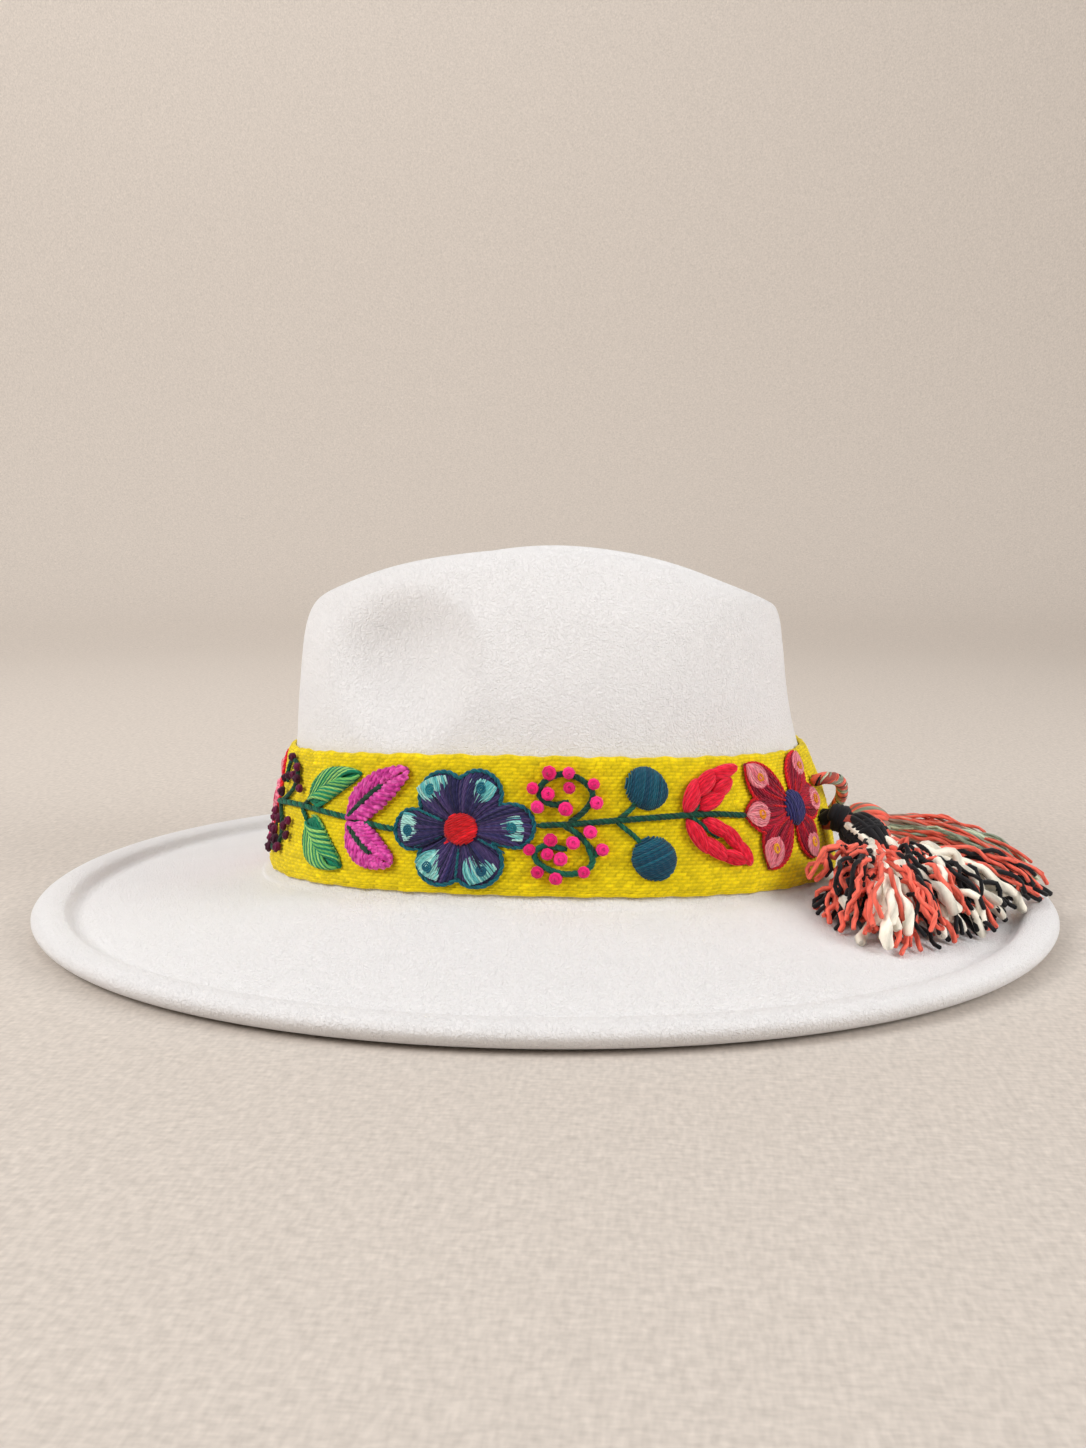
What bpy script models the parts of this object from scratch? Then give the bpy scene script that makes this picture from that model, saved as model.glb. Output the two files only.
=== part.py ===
"""Fedora of white wool felt with a woven band, a braided cord and two tassels.

Lengths are in millimetres until the mesh is made. The hat's front is -Y, the wearer's left is +X,
and it rests on z = 0 on the underside of its turned-over hem.
"""
import math

import bpy
from mathutils import Vector

MM = 0.001

# Outline of the brim.
BRIM_HALF_WIDTH = 169.0
BRIM_HALF_LENGTH = 187.0
FULLNESS = 0.013

# Felt and band.
FELT_WALL = 2.5
FELT_COLUMNS = 64
NORMAL_STEP = 0.10
BAND_THICKNESS = 2.8
BAND_GAP = 0.35
BAND_SEAM_ANGLE = math.radians(73.0)
BAND_SEAM_GAP = math.radians(0.7)

# Section of the turned-over hem: distance in from the brim's outline, and height.
HEM_COLUMNS = ("inset", "height")
HEM = (
    (10.6, 0.0),
    (7.4, 0.0),
    (4.2, 0.7),
    (1.6, 2.4),
    (0.2, 4.6),
    (0.4, 6.2),
    (2.2, 7.7),
    (5.2, 8.25),
    (8.6, 8.0),
    (11.2, 7.1),
    (12.6, 5.4),
    (13.6, 4.1),
)

# Top side of the felt, from the hem up to the crown's crease. Each row is one ring:
# half width, half lengths to front and rear, heights at side, front and rear, taper to the front,
# and the number of steps to the next row.
RING_COLUMNS = ("name", "side", "front", "rear", "z_side", "z_front", "z_rear", "egg", "steps")
RINGS = (
    ("brim_edge", 153.0, 171.0, 171.0, 3.4, 3.4, 3.4, 0.00, 1),
    ("brim_middle", 120.0, 139.0, 139.5, 11.3, 8.1, 8.5, 0.00, 1),
    ("brim_inner", 93.0, 111.0, 115.5, 18.0, 12.4, 13.1, 0.01, 1),
    ("fillet", 88.0, 105.4, 110.6, 19.5, 13.5, 14.2, 0.01, 1),
    ("band_low", 84.6, 101.8, 107.6, 22.0, 15.4, 16.2, 0.01, 1),
    ("wall_foot", 83.2, 100.4, 106.6, 26.0, 19.6, 20.4, 0.01, 1),
    ("wall_low", 81.4, 97.8, 104.9, 35.0, 30.0, 31.0, 0.01, 1),
    ("wall_middle", 79.2, 95.2, 101.4, 48.0, 43.6, 45.0, 0.02, 1),
    ("band_top", 76.4, 92.7, 94.9, 66.3, 60.0, 61.5, 0.02, 2),
    ("wall_high", 73.0, 91.2, 90.6, 86.0, 80.0, 81.0, 0.04, 3),
    ("shoulder", 64.5, 90.2, 88.8, 108.0, 98.0, 98.5, 0.07, 2),
    ("upper", 56.5, 88.6, 87.4, 121.0, 107.0, 107.0, 0.11, 1),
    ("ridge_outside", 50.0, 86.0, 85.0, 129.2, 112.4, 112.2, 0.14, 1),
    ("ridge", 43.5, 81.5, 80.5, 133.3, 114.7, 114.2, 0.16, 1),
    ("ridge_inside", 36.5, 75.0, 74.5, 131.0, 114.0, 113.6, 0.18, 1),
    ("slope", 26.0, 64.5, 65.0, 122.0, 110.5, 111.0, 0.20, 1),
    ("floor", 13.5, 53.5, 55.0, 115.0, 107.5, 109.0, 0.20, 1),
    ("crease", 3.0, 45.0, 47.0, 113.0, 106.8, 108.5, 0.00, 0),
)
NAMES = [row[0] for row in RINGS]

# The finger dent that is pressed into each side of the crown.
DENT_Y = -42.0
DENT_Z = 97.0
DENT_DEPTH = 13.0
DENT_FRONT = 32.0
DENT_REAR = 29.0
DENT_TOP = 25.0
DENT_BOTTOM = 33.0

# The braided cord from the band's seam to the coral tassel. Its points are chosen by hand.
CORD_DIAMETER = 4.6
CORD_ROUTE = (
    (24.5, 99.0, 51.2),
    (25.1, 103.4, 52.4),
    (20.0, 107.8, 51.0),
    (11.0, 110.4, 47.2),
    (0.0, 111.6, 41.4),
    (-9.5, 110.8, 36.0),
    (-17.5, 109.9, 31.8),
    (-23.8, 112.0, 28.9),
    (-26.0, 116.2, 27.6),
)

# The black tassel is knotted to the seam by a short neck of its own yarn.
NECK_ROUTE = (
    (25.0, 102.75, 37.35),
    (26.4, 107.0, 38.2),
    (28.8, 112.2, 36.6),
    (31.5, 117.0, 32.0),
)
NECK_RADII = (2.0, 3.0, 4.2, 3.6)

# Tassels: each lock ends on the brim. A row gives where the tip lies and its radius there.
LOCK_COLUMNS = ("x", "y", "tip_radius", "lift")
BLACK_HEAD = Vector((31.5, 117.0, 32.0))
BLACK_AXIS = Vector((0.75, 0.45, -0.48))
BLACK_LOCKS = (
    (66.0, 98.0, 4.6, 1.0),
    (78.0, 104.0, 5.0, 0.6),
    (91.0, 117.0, 5.2, 0.5),
    (83.0, 132.0, 5.4, 0.5),
    (67.0, 147.0, 5.4, 0.5),
    (51.0, 162.0, 5.2, 0.5),
    (33.0, 176.0, 4.8, 0.6),
    (15.0, 184.0, 4.6, 0.6),
    (62.0, 122.0, 6.4, 9.0),
    (42.0, 148.0, 6.4, 10.0),
    (26.0, 165.0, 5.6, 8.0),
)
CORAL_HEAD = Vector((-30.4, 124.7, 25.0))
CORAL_AXIS = Vector((-0.45, 0.86, -0.26))
CORAL_LOCKS = (
    (-42.0, 176.0, 4.6, 0.6),
    (-31.0, 185.0, 4.8, 0.6),
    (-19.0, 190.0, 4.8, 0.6),
    (-7.0, 189.0, 4.6, 0.6),
    (-35.0, 178.0, 5.2, 8.0),
    (-20.0, 184.0, 5.4, 8.5),
)
HEAD_RADIUS = 8.0
HEAD_HALF_LENGTH = 9.5
LOCK_SIDES = 6
LOCK_STEPS = 6
LOCK_CLEARANCE = -0.35


def clear_scene():
    for obj in list(bpy.data.objects):
        bpy.data.objects.remove(obj, do_unlink=True)


def principled(name, color, roughness, metallic=0.0):
    material = bpy.data.materials.new(name)
    material.use_nodes = True
    shader = material.node_tree.nodes["Principled BSDF"]
    shader.inputs["Base Color"].default_value = (*color, 1.0)
    shader.inputs["Roughness"].default_value = roughness
    shader.inputs["Metallic"].default_value = metallic
    material.diffuse_color = (*color, 1.0)
    return material


def add_object(name, points, faces, material, collection=None):
    """Makes a mesh object from points in millimetres, with its faces turned outward."""
    mesh = bpy.data.meshes.new(name)
    mesh.from_pydata([Vector(p) * MM for p in points], [], faces)
    mesh.validate()
    mesh.materials.append(material)
    mesh.shade_smooth()
    obj = bpy.data.objects.new(name, mesh)
    (collection or bpy.context.scene.collection).objects.link(obj)
    return obj


def catmull_rom(a, b, c, d, t):
    """The curve's value between b and c."""
    return b + 0.5 * t * (c - a + t * (2 * a - 5 * b + 4 * c - d + t * (3 * (b - c) + d - a)))


def ring_values(v):
    """The RINGS columns from side to egg at v, where whole numbers are the rows."""
    last = len(RINGS) - 1
    row = min(int(v), last - 1)
    picked = [RINGS[min(max(row + k, 0), last)] for k in (-1, 0, 1, 2)]
    return [catmull_rom(*(p[column] for p in picked), v - row) for column in range(1, 8)]


def oval(u, side, front, rear, egg=0.0):
    """A point of the oval at angle u: 0 at the side, a quarter turn at the rear."""
    swell = 1.0 + FULLNESS * math.sin(2 * u) ** 2
    length = rear if math.sin(u) > 0 else front
    x = side * math.cos(u) * (1.0 + egg * math.sin(u)) * swell
    return x, length * math.sin(u) * swell


def dent_depth(y, z):
    """How far the finger dents push the wall in: soft to the front, with a crisp rear edge."""
    along = (y - DENT_Y) / (DENT_REAR if y > DENT_Y else DENT_FRONT)
    up = (z - DENT_Z) / (DENT_TOP if z > DENT_Z else DENT_BOTTOM)
    reach = math.hypot(along, up)
    if reach >= 1.0:
        return 0.0
    rearward = max(0.0, along / max(reach, 0.001))
    softness = 2.0 - 0.5 * rearward
    return DENT_DEPTH * (1.0 - reach**2.2) ** softness


def felt_point(u, v):
    """A point of the felt's top side."""
    side, front, rear, z_side, z_front, z_rear, egg = ring_values(v)
    x, y = oval(u, side, front, rear, egg)
    z_end = z_rear if math.sin(u) > 0 else z_front
    z = z_side + (z_end - z_side) * math.sin(u) ** 2
    if NAMES.index("band_top") < v < NAMES.index("ridge"):
        x -= math.copysign(min(dent_depth(y, z), abs(x)), x)
    return Vector((x, y, z))


def felt_normal(u, v):
    """The direction away from the felt's top side."""
    last = len(RINGS) - 1
    du = felt_point(u + NORMAL_STEP, v) - felt_point(u - NORMAL_STEP, v)
    dv = felt_point(u, min(v + NORMAL_STEP, last)) - felt_point(u, max(v - NORMAL_STEP, 0))
    return du.cross(dv).normalized()


def columns_of(count):
    return [2 * math.pi * k / count for k in range(count)]


def hem_ring(inset, height):
    side = BRIM_HALF_WIDTH - inset
    length = BRIM_HALF_LENGTH - inset
    return [(*oval(u, side, length, length), height) for u in columns_of(FELT_COLUMNS)]


def build_felt(material):
    levels = []
    for row, ring in enumerate(RINGS):
        steps = ring[-1]
        levels += [row + k / steps for k in range(steps)] or [row]
    angles = columns_of(FELT_COLUMNS)
    top = [[felt_point(u, v) for u in angles] for v in levels]
    under = [[felt_point(u, v) - felt_normal(u, v) * FELT_WALL for u in angles] for v in levels]
    rings = [hem_ring(*row) for row in HEM] + top
    points = [p for ring in rings + under[::-1] for p in ring]
    count = len(rings) + len(under)
    faces = []
    for r in range(count):
        # The two innermost rings are closed along the crease instead of being joined.
        if r == len(rings) - 1:
            continue
        for k in range(FELT_COLUMNS):
            after = (k + 1) % FELT_COLUMNS
            here, above = r * FELT_COLUMNS, (r + 1) % count * FELT_COLUMNS
            faces.append((here + k, here + after, above + after, above + k))
    for r, turned in ((len(rings) - 1, False), (len(rings), True)):
        faces += crease_faces(r * FELT_COLUMNS, turned)
    return add_object("felt_body", points, faces, material)


def crease_faces(start, turned):
    """Closes a ring by joining each point to the one across the crease."""
    quarter = FELT_COLUMNS // 4
    faces = []
    for k in range(-quarter, quarter):
        left = (k % FELT_COLUMNS, (k + 1) % FELT_COLUMNS)
        right = ((2 * quarter - k) % FELT_COLUMNS, (2 * quarter - k - 1) % FELT_COLUMNS)
        face = [start + i for i in dict.fromkeys((left[0], left[1], right[1], right[0]))]
        faces.append(face[::-1] if turned else face)
    return faces


def build_band(material):
    """A woven strip round the crown, open at its seam."""
    low, top = NAMES.index("band_low"), NAMES.index("band_top")
    levels = [float(row) for row in range(low, top + 1)]
    start = BAND_SEAM_ANGLE + BAND_SEAM_GAP / 2
    end = BAND_SEAM_ANGLE - BAND_SEAM_GAP / 2 + 2 * math.pi
    angles = [start]
    angles += [u + turn for turn in (0, 2 * math.pi) for u in columns_of(FELT_COLUMNS)]
    angles = [start] + sorted(u for u in angles[1:] if start + 0.02 < u < end - 0.02) + [end]
    inner = BAND_GAP
    outer = BAND_GAP + BAND_THICKNESS
    points = []
    for u in angles:
        for v, offset in [(v, inner) for v in levels] + [(v, outer) for v in levels[::-1]]:
            points.append(felt_point(u, v) + felt_normal(u, v) * offset)
    loop = 2 * len(levels)
    faces = []
    for column in range(len(angles) - 1):
        for k in range(loop):
            here, there = column * loop, (column + 1) * loop
            after = (k + 1) % loop
            faces.append((here + k, here + after, there + after, there + k))
    faces.append(tuple(range(loop))[::-1])
    faces.append(tuple((len(angles) - 1) * loop + k for k in range(loop)))
    return add_object("band", points, faces, material)


def build_cord(name, route, material):
    """A round tube on a smooth curve through the route's points."""
    points = [Vector(p) for p in route]
    length = sum((b - a).length for a, b in zip(points, points[1:]))
    count = round(length / CORD_DIAMETER)
    smooth = []
    last = len(points) - 1
    for k in range(count + 1):
        at = last * k / count
        row = min(int(at), last - 1)
        picked = [points[min(max(row + j, 0), last)] for j in (-1, 0, 1, 2)]
        smooth.append(catmull_rom(*picked, at - row))
    curve = bpy.data.curves.new(name, "CURVE")
    curve.dimensions = "3D"
    curve.bevel_depth = CORD_DIAMETER / 2 * MM
    curve.bevel_resolution = 2
    curve.use_fill_caps = True
    spline = curve.splines.new("POLY")
    spline.points.add(len(smooth) - 1)
    for point, place in zip(spline.points, smooth):
        point.co = (*(place * MM), 1.0)
    curve.materials.append(material)
    obj = bpy.data.objects.new(name, curve)
    bpy.context.scene.collection.objects.link(obj)
    return obj


def brim_top(x, y):
    """The height of the brim's top side, or of the hem, under a point of the rear half."""
    reach = math.hypot(x / BRIM_HALF_WIDTH, y / BRIM_HALF_LENGTH)
    foot = 1.0 - 14.5 / BRIM_HALF_WIDTH
    if reach > foot:
        return max(row[1] for row in HEM)
    rearward = y**2 / max(x**2 + y**2, 1.0)
    inner_reach = 0.55 + 0.067 * rearward
    inner_z = 18.0 - 4.9 * rearward
    edge_z = RINGS[0][4]
    return edge_z + (inner_z - edge_z) * (foot - reach) / (foot - inner_reach)


def tube(path, radii, flat=1.0):
    """A closed tube of LOCK_SIDES sides along a path, squashed upward by flat."""
    points = []
    for k, (place, radius) in enumerate(zip(path, radii)):
        ahead = (path[min(k + 1, len(path) - 1)] - path[max(k - 1, 0)]).normalized()
        across = ahead.cross(Vector((0, 0, 1))).normalized()
        up = across.cross(ahead)
        for side in range(LOCK_SIDES):
            turn = 2 * math.pi * (side + 0.5) / LOCK_SIDES
            points.append(place + radius * (across * math.cos(turn) + up * flat * math.sin(turn)))
    faces = []
    for ring in range(len(path) - 1):
        for side in range(LOCK_SIDES):
            here, there = ring * LOCK_SIDES, (ring + 1) * LOCK_SIDES
            after = (side + 1) % LOCK_SIDES
            faces.append((here + side, there + side, there + after, here + after))
    faces.append(tuple(range(LOCK_SIDES)))
    last = (len(path) - 1) * LOCK_SIDES
    faces.append(tuple(last + side for side in range(LOCK_SIDES))[::-1])
    return points, faces


def lock_path(waist, tip_x, tip_y, tip_radius, lift):
    """From the waist out over the brim, sinking until it lies lift above it."""
    path = []
    radii = []
    for k in range(LOCK_STEPS + 1):
        t = k / LOCK_STEPS
        x = waist.x + (tip_x - waist.x) * t
        y = waist.y + (tip_y - waist.y) * t
        radius = 3.6 + (tip_radius + 1.6 - 3.6) * math.sin(math.pi * min(t, 0.7) / 1.4) ** 0.8
        radius -= 1.6 * max(0.0, t - 0.7) / 0.3
        ground = max(brim_top(x + dx, y + dy) for dx in (-radius, 0, radius) for dy in (0, radius))
        rest = ground + LOCK_CLEARANCE + lift + radius
        height = rest + max(0.0, waist.z - rest) * (1 - t) ** 1.5
        path.append(Vector((x, y, max(height, rest))))
        radii.append(radius)
    return path, radii


def build_tassel(name, head, axis, locks, material, neck=None):
    """A wound head with a waist, and locks and a neck that are fused to it."""
    axis = axis.normalized()
    profile = ((-1.0, 0.34), (-0.72, 0.80), (-0.2, 1.0), (0.35, 0.93), (0.75, 0.66), (1.0, 0.58))
    path = [head + axis * HEAD_HALF_LENGTH * along for along, _ in profile]
    body = add_object(name, *tube(path, [HEAD_RADIUS * size for _, size in profile]), material)
    waist = head + axis * HEAD_HALF_LENGTH * 0.8
    strands = bpy.data.collections.new(name + "_locks")
    bpy.context.scene.collection.children.link(strands)
    tubes = [tube(*lock_path(waist, *lock)) for lock in locks]
    if neck:
        tubes.append(tube(*neck))
    for k, shape in enumerate(tubes):
        helper = add_object(f"{name}_strand_{k}", *shape, material, strands)
        helper.hide_render = True
        helper.display_type = "WIRE"
    fuse = body.modifiers.new("fuse locks", "BOOLEAN")
    fuse.operation = "UNION"
    fuse.operand_type = "COLLECTION"
    fuse.collection = strands
    fuse.solver = "EXACT"
    return body


def main():
    clear_scene()
    felt = principled("white_felt", (0.90, 0.88, 0.87), 0.95)
    weave = principled("yellow_weave", (0.80, 0.58, 0.01), 0.9)
    braid = principled("mixed_braid", (0.42, 0.36, 0.28), 0.9)
    coral = principled("coral_yarn", (0.82, 0.25, 0.17), 0.9)
    dark = principled("black_cream_yarn", (0.16, 0.13, 0.12), 0.9)
    build_felt(felt)
    build_band(weave)
    build_cord("cord_coral", CORD_ROUTE, braid)
    build_tassel("tassel_coral", CORAL_HEAD, CORAL_AXIS, CORAL_LOCKS, coral)
    neck = ([Vector(p) for p in NECK_ROUTE], NECK_RADII)
    build_tassel("tassel_black", BLACK_HEAD, BLACK_AXIS, BLACK_LOCKS, dark, neck)


main()
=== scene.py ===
"""Looks of the fedora: felt, woven band, embroidery, braided cord, tassels, light and camera.

Lengths are in millimetres until a mesh is made. The hat's front is -Y, the wearer's left is +X.
Places on the band are flat ones: s runs along it from the +X side towards the rear, t up from its
lower edge, and h stands out from the felt.
"""
import math

import bpy
import numpy as np
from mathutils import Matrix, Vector


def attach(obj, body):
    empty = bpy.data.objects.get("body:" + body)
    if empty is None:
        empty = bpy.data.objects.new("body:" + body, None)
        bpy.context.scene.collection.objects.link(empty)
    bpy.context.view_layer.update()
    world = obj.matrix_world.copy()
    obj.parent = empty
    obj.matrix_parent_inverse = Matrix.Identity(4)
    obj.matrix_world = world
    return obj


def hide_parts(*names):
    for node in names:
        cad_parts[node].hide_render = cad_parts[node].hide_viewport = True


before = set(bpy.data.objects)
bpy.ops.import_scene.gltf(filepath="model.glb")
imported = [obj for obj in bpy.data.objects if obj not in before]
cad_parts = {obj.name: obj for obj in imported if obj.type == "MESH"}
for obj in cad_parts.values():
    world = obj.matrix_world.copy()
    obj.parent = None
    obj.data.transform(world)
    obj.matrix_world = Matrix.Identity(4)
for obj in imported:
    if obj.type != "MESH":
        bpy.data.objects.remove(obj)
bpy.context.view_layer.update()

MM = 0.001
BODY = "root"

# Camera, turned a little past the wearer's left side.
CAMERA_TURN = math.radians(5.7)
CAMERA_DISTANCE = 530.0
CAMERA_HEIGHT = 136.7
CAMERA_PITCH = math.radians(7.49)
CAMERA_LENS = 35.18
SENSOR_WIDTH = 36.0

# Outline of the brim and thickness of the felt.
BRIM_HALF_WIDTH = 169.0
BRIM_HALF_LENGTH = 187.0
FULLNESS = 0.013
FELT_WALL = 2.5
FELT_COLUMNS = 288
NORMAL_STEP = 0.04
UNDER_NORMAL_STEP = 0.10

# Section of the turned-over hem: distance in from the brim's outline, and height.
HEM = (
    (10.6, 0.0),
    (7.4, 0.0),
    (4.2, 0.7),
    (1.6, 2.4),
    (0.2, 4.6),
    (0.4, 6.2),
    (2.2, 7.7),
    (5.2, 8.25),
    (8.6, 8.0),
    (11.2, 7.1),
    (12.6, 5.4),
    (13.6, 4.1),
)

# Rings of the felt's top side, from the hem up to the crown's crease: name, half width, half
# lengths to front and rear, heights at side, front and rear, and taper to the front.
RINGS = (
    ("brim_edge", 153.0, 171.0, 171.0, 3.4, 3.4, 3.4, 0.00),
    ("brim_middle", 120.0, 139.0, 139.5, 11.3, 8.1, 8.5, 0.00),
    ("brim_inner", 93.0, 111.0, 115.5, 18.0, 12.4, 13.1, 0.01),
    ("fillet", 88.0, 105.4, 110.6, 19.5, 13.5, 14.2, 0.01),
    ("band_low", 84.6, 101.8, 107.6, 22.0, 15.4, 16.2, 0.01),
    ("wall_foot", 83.2, 100.4, 106.6, 26.0, 19.6, 20.4, 0.01),
    ("wall_low", 81.4, 97.8, 104.9, 35.0, 30.0, 31.0, 0.01),
    ("wall_middle", 79.2, 95.2, 101.4, 48.0, 43.6, 45.0, 0.02),
    ("band_top", 76.4, 92.7, 94.9, 66.3, 60.0, 61.5, 0.02),
    ("wall_high", 73.0, 91.2, 90.6, 86.0, 80.0, 81.0, 0.04),
    ("shoulder", 64.5, 90.2, 88.8, 108.0, 98.0, 98.5, 0.07),
    ("upper", 56.5, 88.6, 87.4, 121.0, 107.0, 107.0, 0.11),
    ("ridge_outside", 50.0, 86.0, 85.0, 129.2, 112.4, 112.2, 0.14),
    ("ridge", 43.5, 81.5, 80.5, 133.3, 114.7, 114.2, 0.16),
    ("ridge_inside", 36.5, 75.0, 74.5, 131.0, 114.0, 113.6, 0.18),
    ("slope", 26.0, 64.5, 65.0, 122.0, 110.5, 111.0, 0.20),
    ("floor", 13.5, 53.5, 55.0, 115.0, 107.5, 109.0, 0.20),
    ("crease", 3.0, 45.0, 47.0, 113.0, 106.8, 108.5, 0.00),
)
RING_NAMES = [row[0] for row in RINGS]
RING_TABLE = np.array([row[1:] for row in RINGS])
LAST_RING = len(RINGS) - 1
BAND_LOW = RING_NAMES.index("band_low")
BAND_TOP = RING_NAMES.index("band_top")
RIDGE = RING_NAMES.index("ridge")

# The finger dent that is pressed into each side of the crown.
DENT_Y = -42.0
DENT_Z = 97.0
DENT_DEPTH = 13.0
DENT_FRONT = 32.0
DENT_REAR = 29.0
DENT_TOP = 25.0
DENT_BOTTOM = 33.0

# The band and its seam.
BAND_MIDDLE = 6.6
BAND_SEAM_ANGLE = math.radians(73.0)
BAND_SEAM_GAP = 1.2
BAND_INNER = 0.35
BAND_OUTER = 3.15


def rgb(red, green, blue):
    """A colour in linear light from the 0 to 255 values of a picture."""
    value = np.array((red, green, blue)) / 255.0
    return np.where(value > 0.04045, ((value + 0.055) / 1.055) ** 2.4, value / 12.92)


def catmull_rom(a, b, c, d, t):
    """The curve's value between b and c."""
    return b + 0.5 * t * (c - a + t * (2 * a - 5 * b + 4 * c - d + t * (3 * (b - c) + d - a)))


def ring_values(v):
    """The ring table's columns at v, where whole numbers are its rows."""
    v = np.clip(v, 0, LAST_RING)
    row = np.minimum(v.astype(int), LAST_RING - 1)
    picked = (RING_TABLE[np.clip(row + k, 0, LAST_RING)] for k in (-1, 0, 1, 2))
    return catmull_rom(*picked, (v - row)[..., None])


def dent_depth(y, z):
    along = (y - DENT_Y) / np.where(y > DENT_Y, DENT_REAR, DENT_FRONT)
    up = (z - DENT_Z) / np.where(z > DENT_Z, DENT_TOP, DENT_BOTTOM)
    reach = np.hypot(along, up)
    rearward = np.maximum(0.0, along / np.maximum(reach, 0.001))
    softness = 2.0 - 0.5 * rearward
    return DENT_DEPTH * np.maximum(1.0 - reach**2.2, 0.0) ** softness


def felt_point(u, v):
    """A point of the felt's top side: angle u is 0 at the +X side and a quarter turn at the rear."""
    u, v = np.broadcast_arrays(np.asarray(u, float), np.asarray(v, float))
    side, front, rear, z_side, z_front, z_rear, egg = np.moveaxis(ring_values(v), -1, 0)
    swell = 1.0 + FULLNESS * np.sin(2 * u) ** 2
    rearward = np.sin(u) > 0
    x = side * np.cos(u) * (1.0 + egg * np.sin(u)) * swell
    y = np.where(rearward, rear, front) * np.sin(u) * swell
    z = z_side + (np.where(rearward, z_rear, z_front) - z_side) * np.sin(u) ** 2
    dented = (v > BAND_TOP) & (v < RIDGE)
    x = x - np.sign(x) * np.where(dented, np.minimum(dent_depth(y, z), abs(x)), 0.0)
    return np.stack([x, y, z], -1)


def felt_normal(u, v, step=NORMAL_STEP):
    """The direction away from the felt's top side."""
    du = felt_point(u + step, v) - felt_point(u - step, v)
    dv = felt_point(u, np.minimum(v + step, LAST_RING)) - felt_point(u, np.maximum(v - step, 0))
    return unit(np.cross(du, dv))


def unit(vectors):
    return vectors / np.maximum(np.linalg.norm(vectors, axis=-1, keepdims=True), 1e-9)


def lengths_along(points):
    """The distance from the first point to each one."""
    return np.concatenate([[0.0], np.cumsum(np.linalg.norm(np.diff(points, axis=0), axis=1))])


# Flat places on the band are turned into angles and ring levels through these measured lines.
TURNS = np.linspace(-math.pi, math.pi, 2881)
ALONG = lengths_along(felt_point(TURNS, np.full_like(TURNS, BAND_MIDDLE)))
BAND_LENGTH = ALONG[-1]
ALONG = ALONG - np.interp(0.0, TURNS, ALONG)
LEVELS = np.linspace(BAND_LOW, BAND_TOP, 401)
UPWARD = lengths_along(felt_point(np.zeros_like(LEVELS), LEVELS))
BAND_WIDTH = UPWARD[-1]
SEAM_S = float(np.interp(BAND_SEAM_ANGLE, TURNS, ALONG))
FRONT_S = float(np.interp(-math.pi / 2, TURNS, ALONG))


def on_band(flat):
    """Points on the hat of flat places (s, t, h) on the band."""
    flat = np.asarray(flat, float)
    s = (flat[..., 0] - ALONG[0]) % BAND_LENGTH + ALONG[0]
    u = np.interp(s, ALONG, TURNS)
    v = np.interp(flat[..., 1], UPWARD, LEVELS)
    below = np.minimum(flat[..., 1], 0.0) + np.maximum(flat[..., 1] - BAND_WIDTH, 0.0)
    place = felt_point(u, v) + felt_normal(u, v) * flat[..., 2:3]
    place[..., 2] += below
    return place


def mirrored(flat):
    """The same places on the hat's other side."""
    return np.concatenate([2 * FRONT_S - flat[..., :1], flat[..., 1:]], -1)


def smooth_line(points, count, closed=False):
    """count points at even distances on a smooth curve through the given ones."""
    points = np.asarray(points, float)
    total = len(points)
    at = np.linspace(0, total if closed else total - 1, 24 * total)
    row = np.minimum(at.astype(int), total - 1 if closed else total - 2)
    wrap = (lambda i: i % total) if closed else (lambda i: np.clip(i, 0, total - 1))
    picked = (points[wrap(row + k)] for k in (-1, 0, 1, 2))
    fine = catmull_rom(*picked, (at - row)[:, None])
    length = lengths_along(fine)
    wanted = np.linspace(0, length[-1], count)
    return np.stack([np.interp(wanted, length, fine[:, axis]) for axis in range(fine.shape[1])], -1)


def wobble(rng, count, waves):
    """A smooth random line of about unit height with that many waves in it."""
    at = np.linspace(0, 1, count)
    line = np.zeros(count)
    for k in range(1, waves + 1):
        line += rng.normal() * np.sin(2 * math.pi * k * at + rng.uniform(0, 2 * math.pi)) / waves**0.5
    return line


def add_mesh(name, points, face_groups, material, colors=None, twists=None):
    """An object from points in millimetres and arrays of faces, each array with one number of sides."""
    mesh = bpy.data.meshes.new(name)
    corners = np.concatenate([np.asarray(faces).ravel() for faces in face_groups])
    sides = np.concatenate([np.full(len(faces), faces.shape[1]) for faces in face_groups])
    mesh.vertices.add(len(points))
    mesh.vertices.foreach_set("co", (np.asarray(points) * MM).astype(np.float32).ravel())
    mesh.loops.add(len(corners))
    mesh.loops.foreach_set("vertex_index", corners.astype(np.int32))
    mesh.polygons.add(len(sides))
    mesh.polygons.foreach_set("loop_start", np.concatenate([[0], np.cumsum(sides)[:-1]]).astype(np.int32))
    mesh.update(calc_edges=True)
    mesh.shade_smooth()
    mesh.materials.append(material)
    if colors is not None:
        layer = mesh.attributes.new("yarn_color_and_shade", "FLOAT_COLOR", "POINT")
        rgba = np.concatenate([colors, np.ones((len(colors), 1))], 1)
        layer.data.foreach_set("color", rgba.astype(np.float32).ravel())
    if twists is not None:
        layer = mesh.uv_layers.new(name="twist")
        layer.data.foreach_set("uv", twists.astype(np.float32).ravel())
    obj = bpy.data.objects.new(name, mesh)
    bpy.context.scene.collection.objects.link(obj)
    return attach(obj, BODY)


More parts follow.
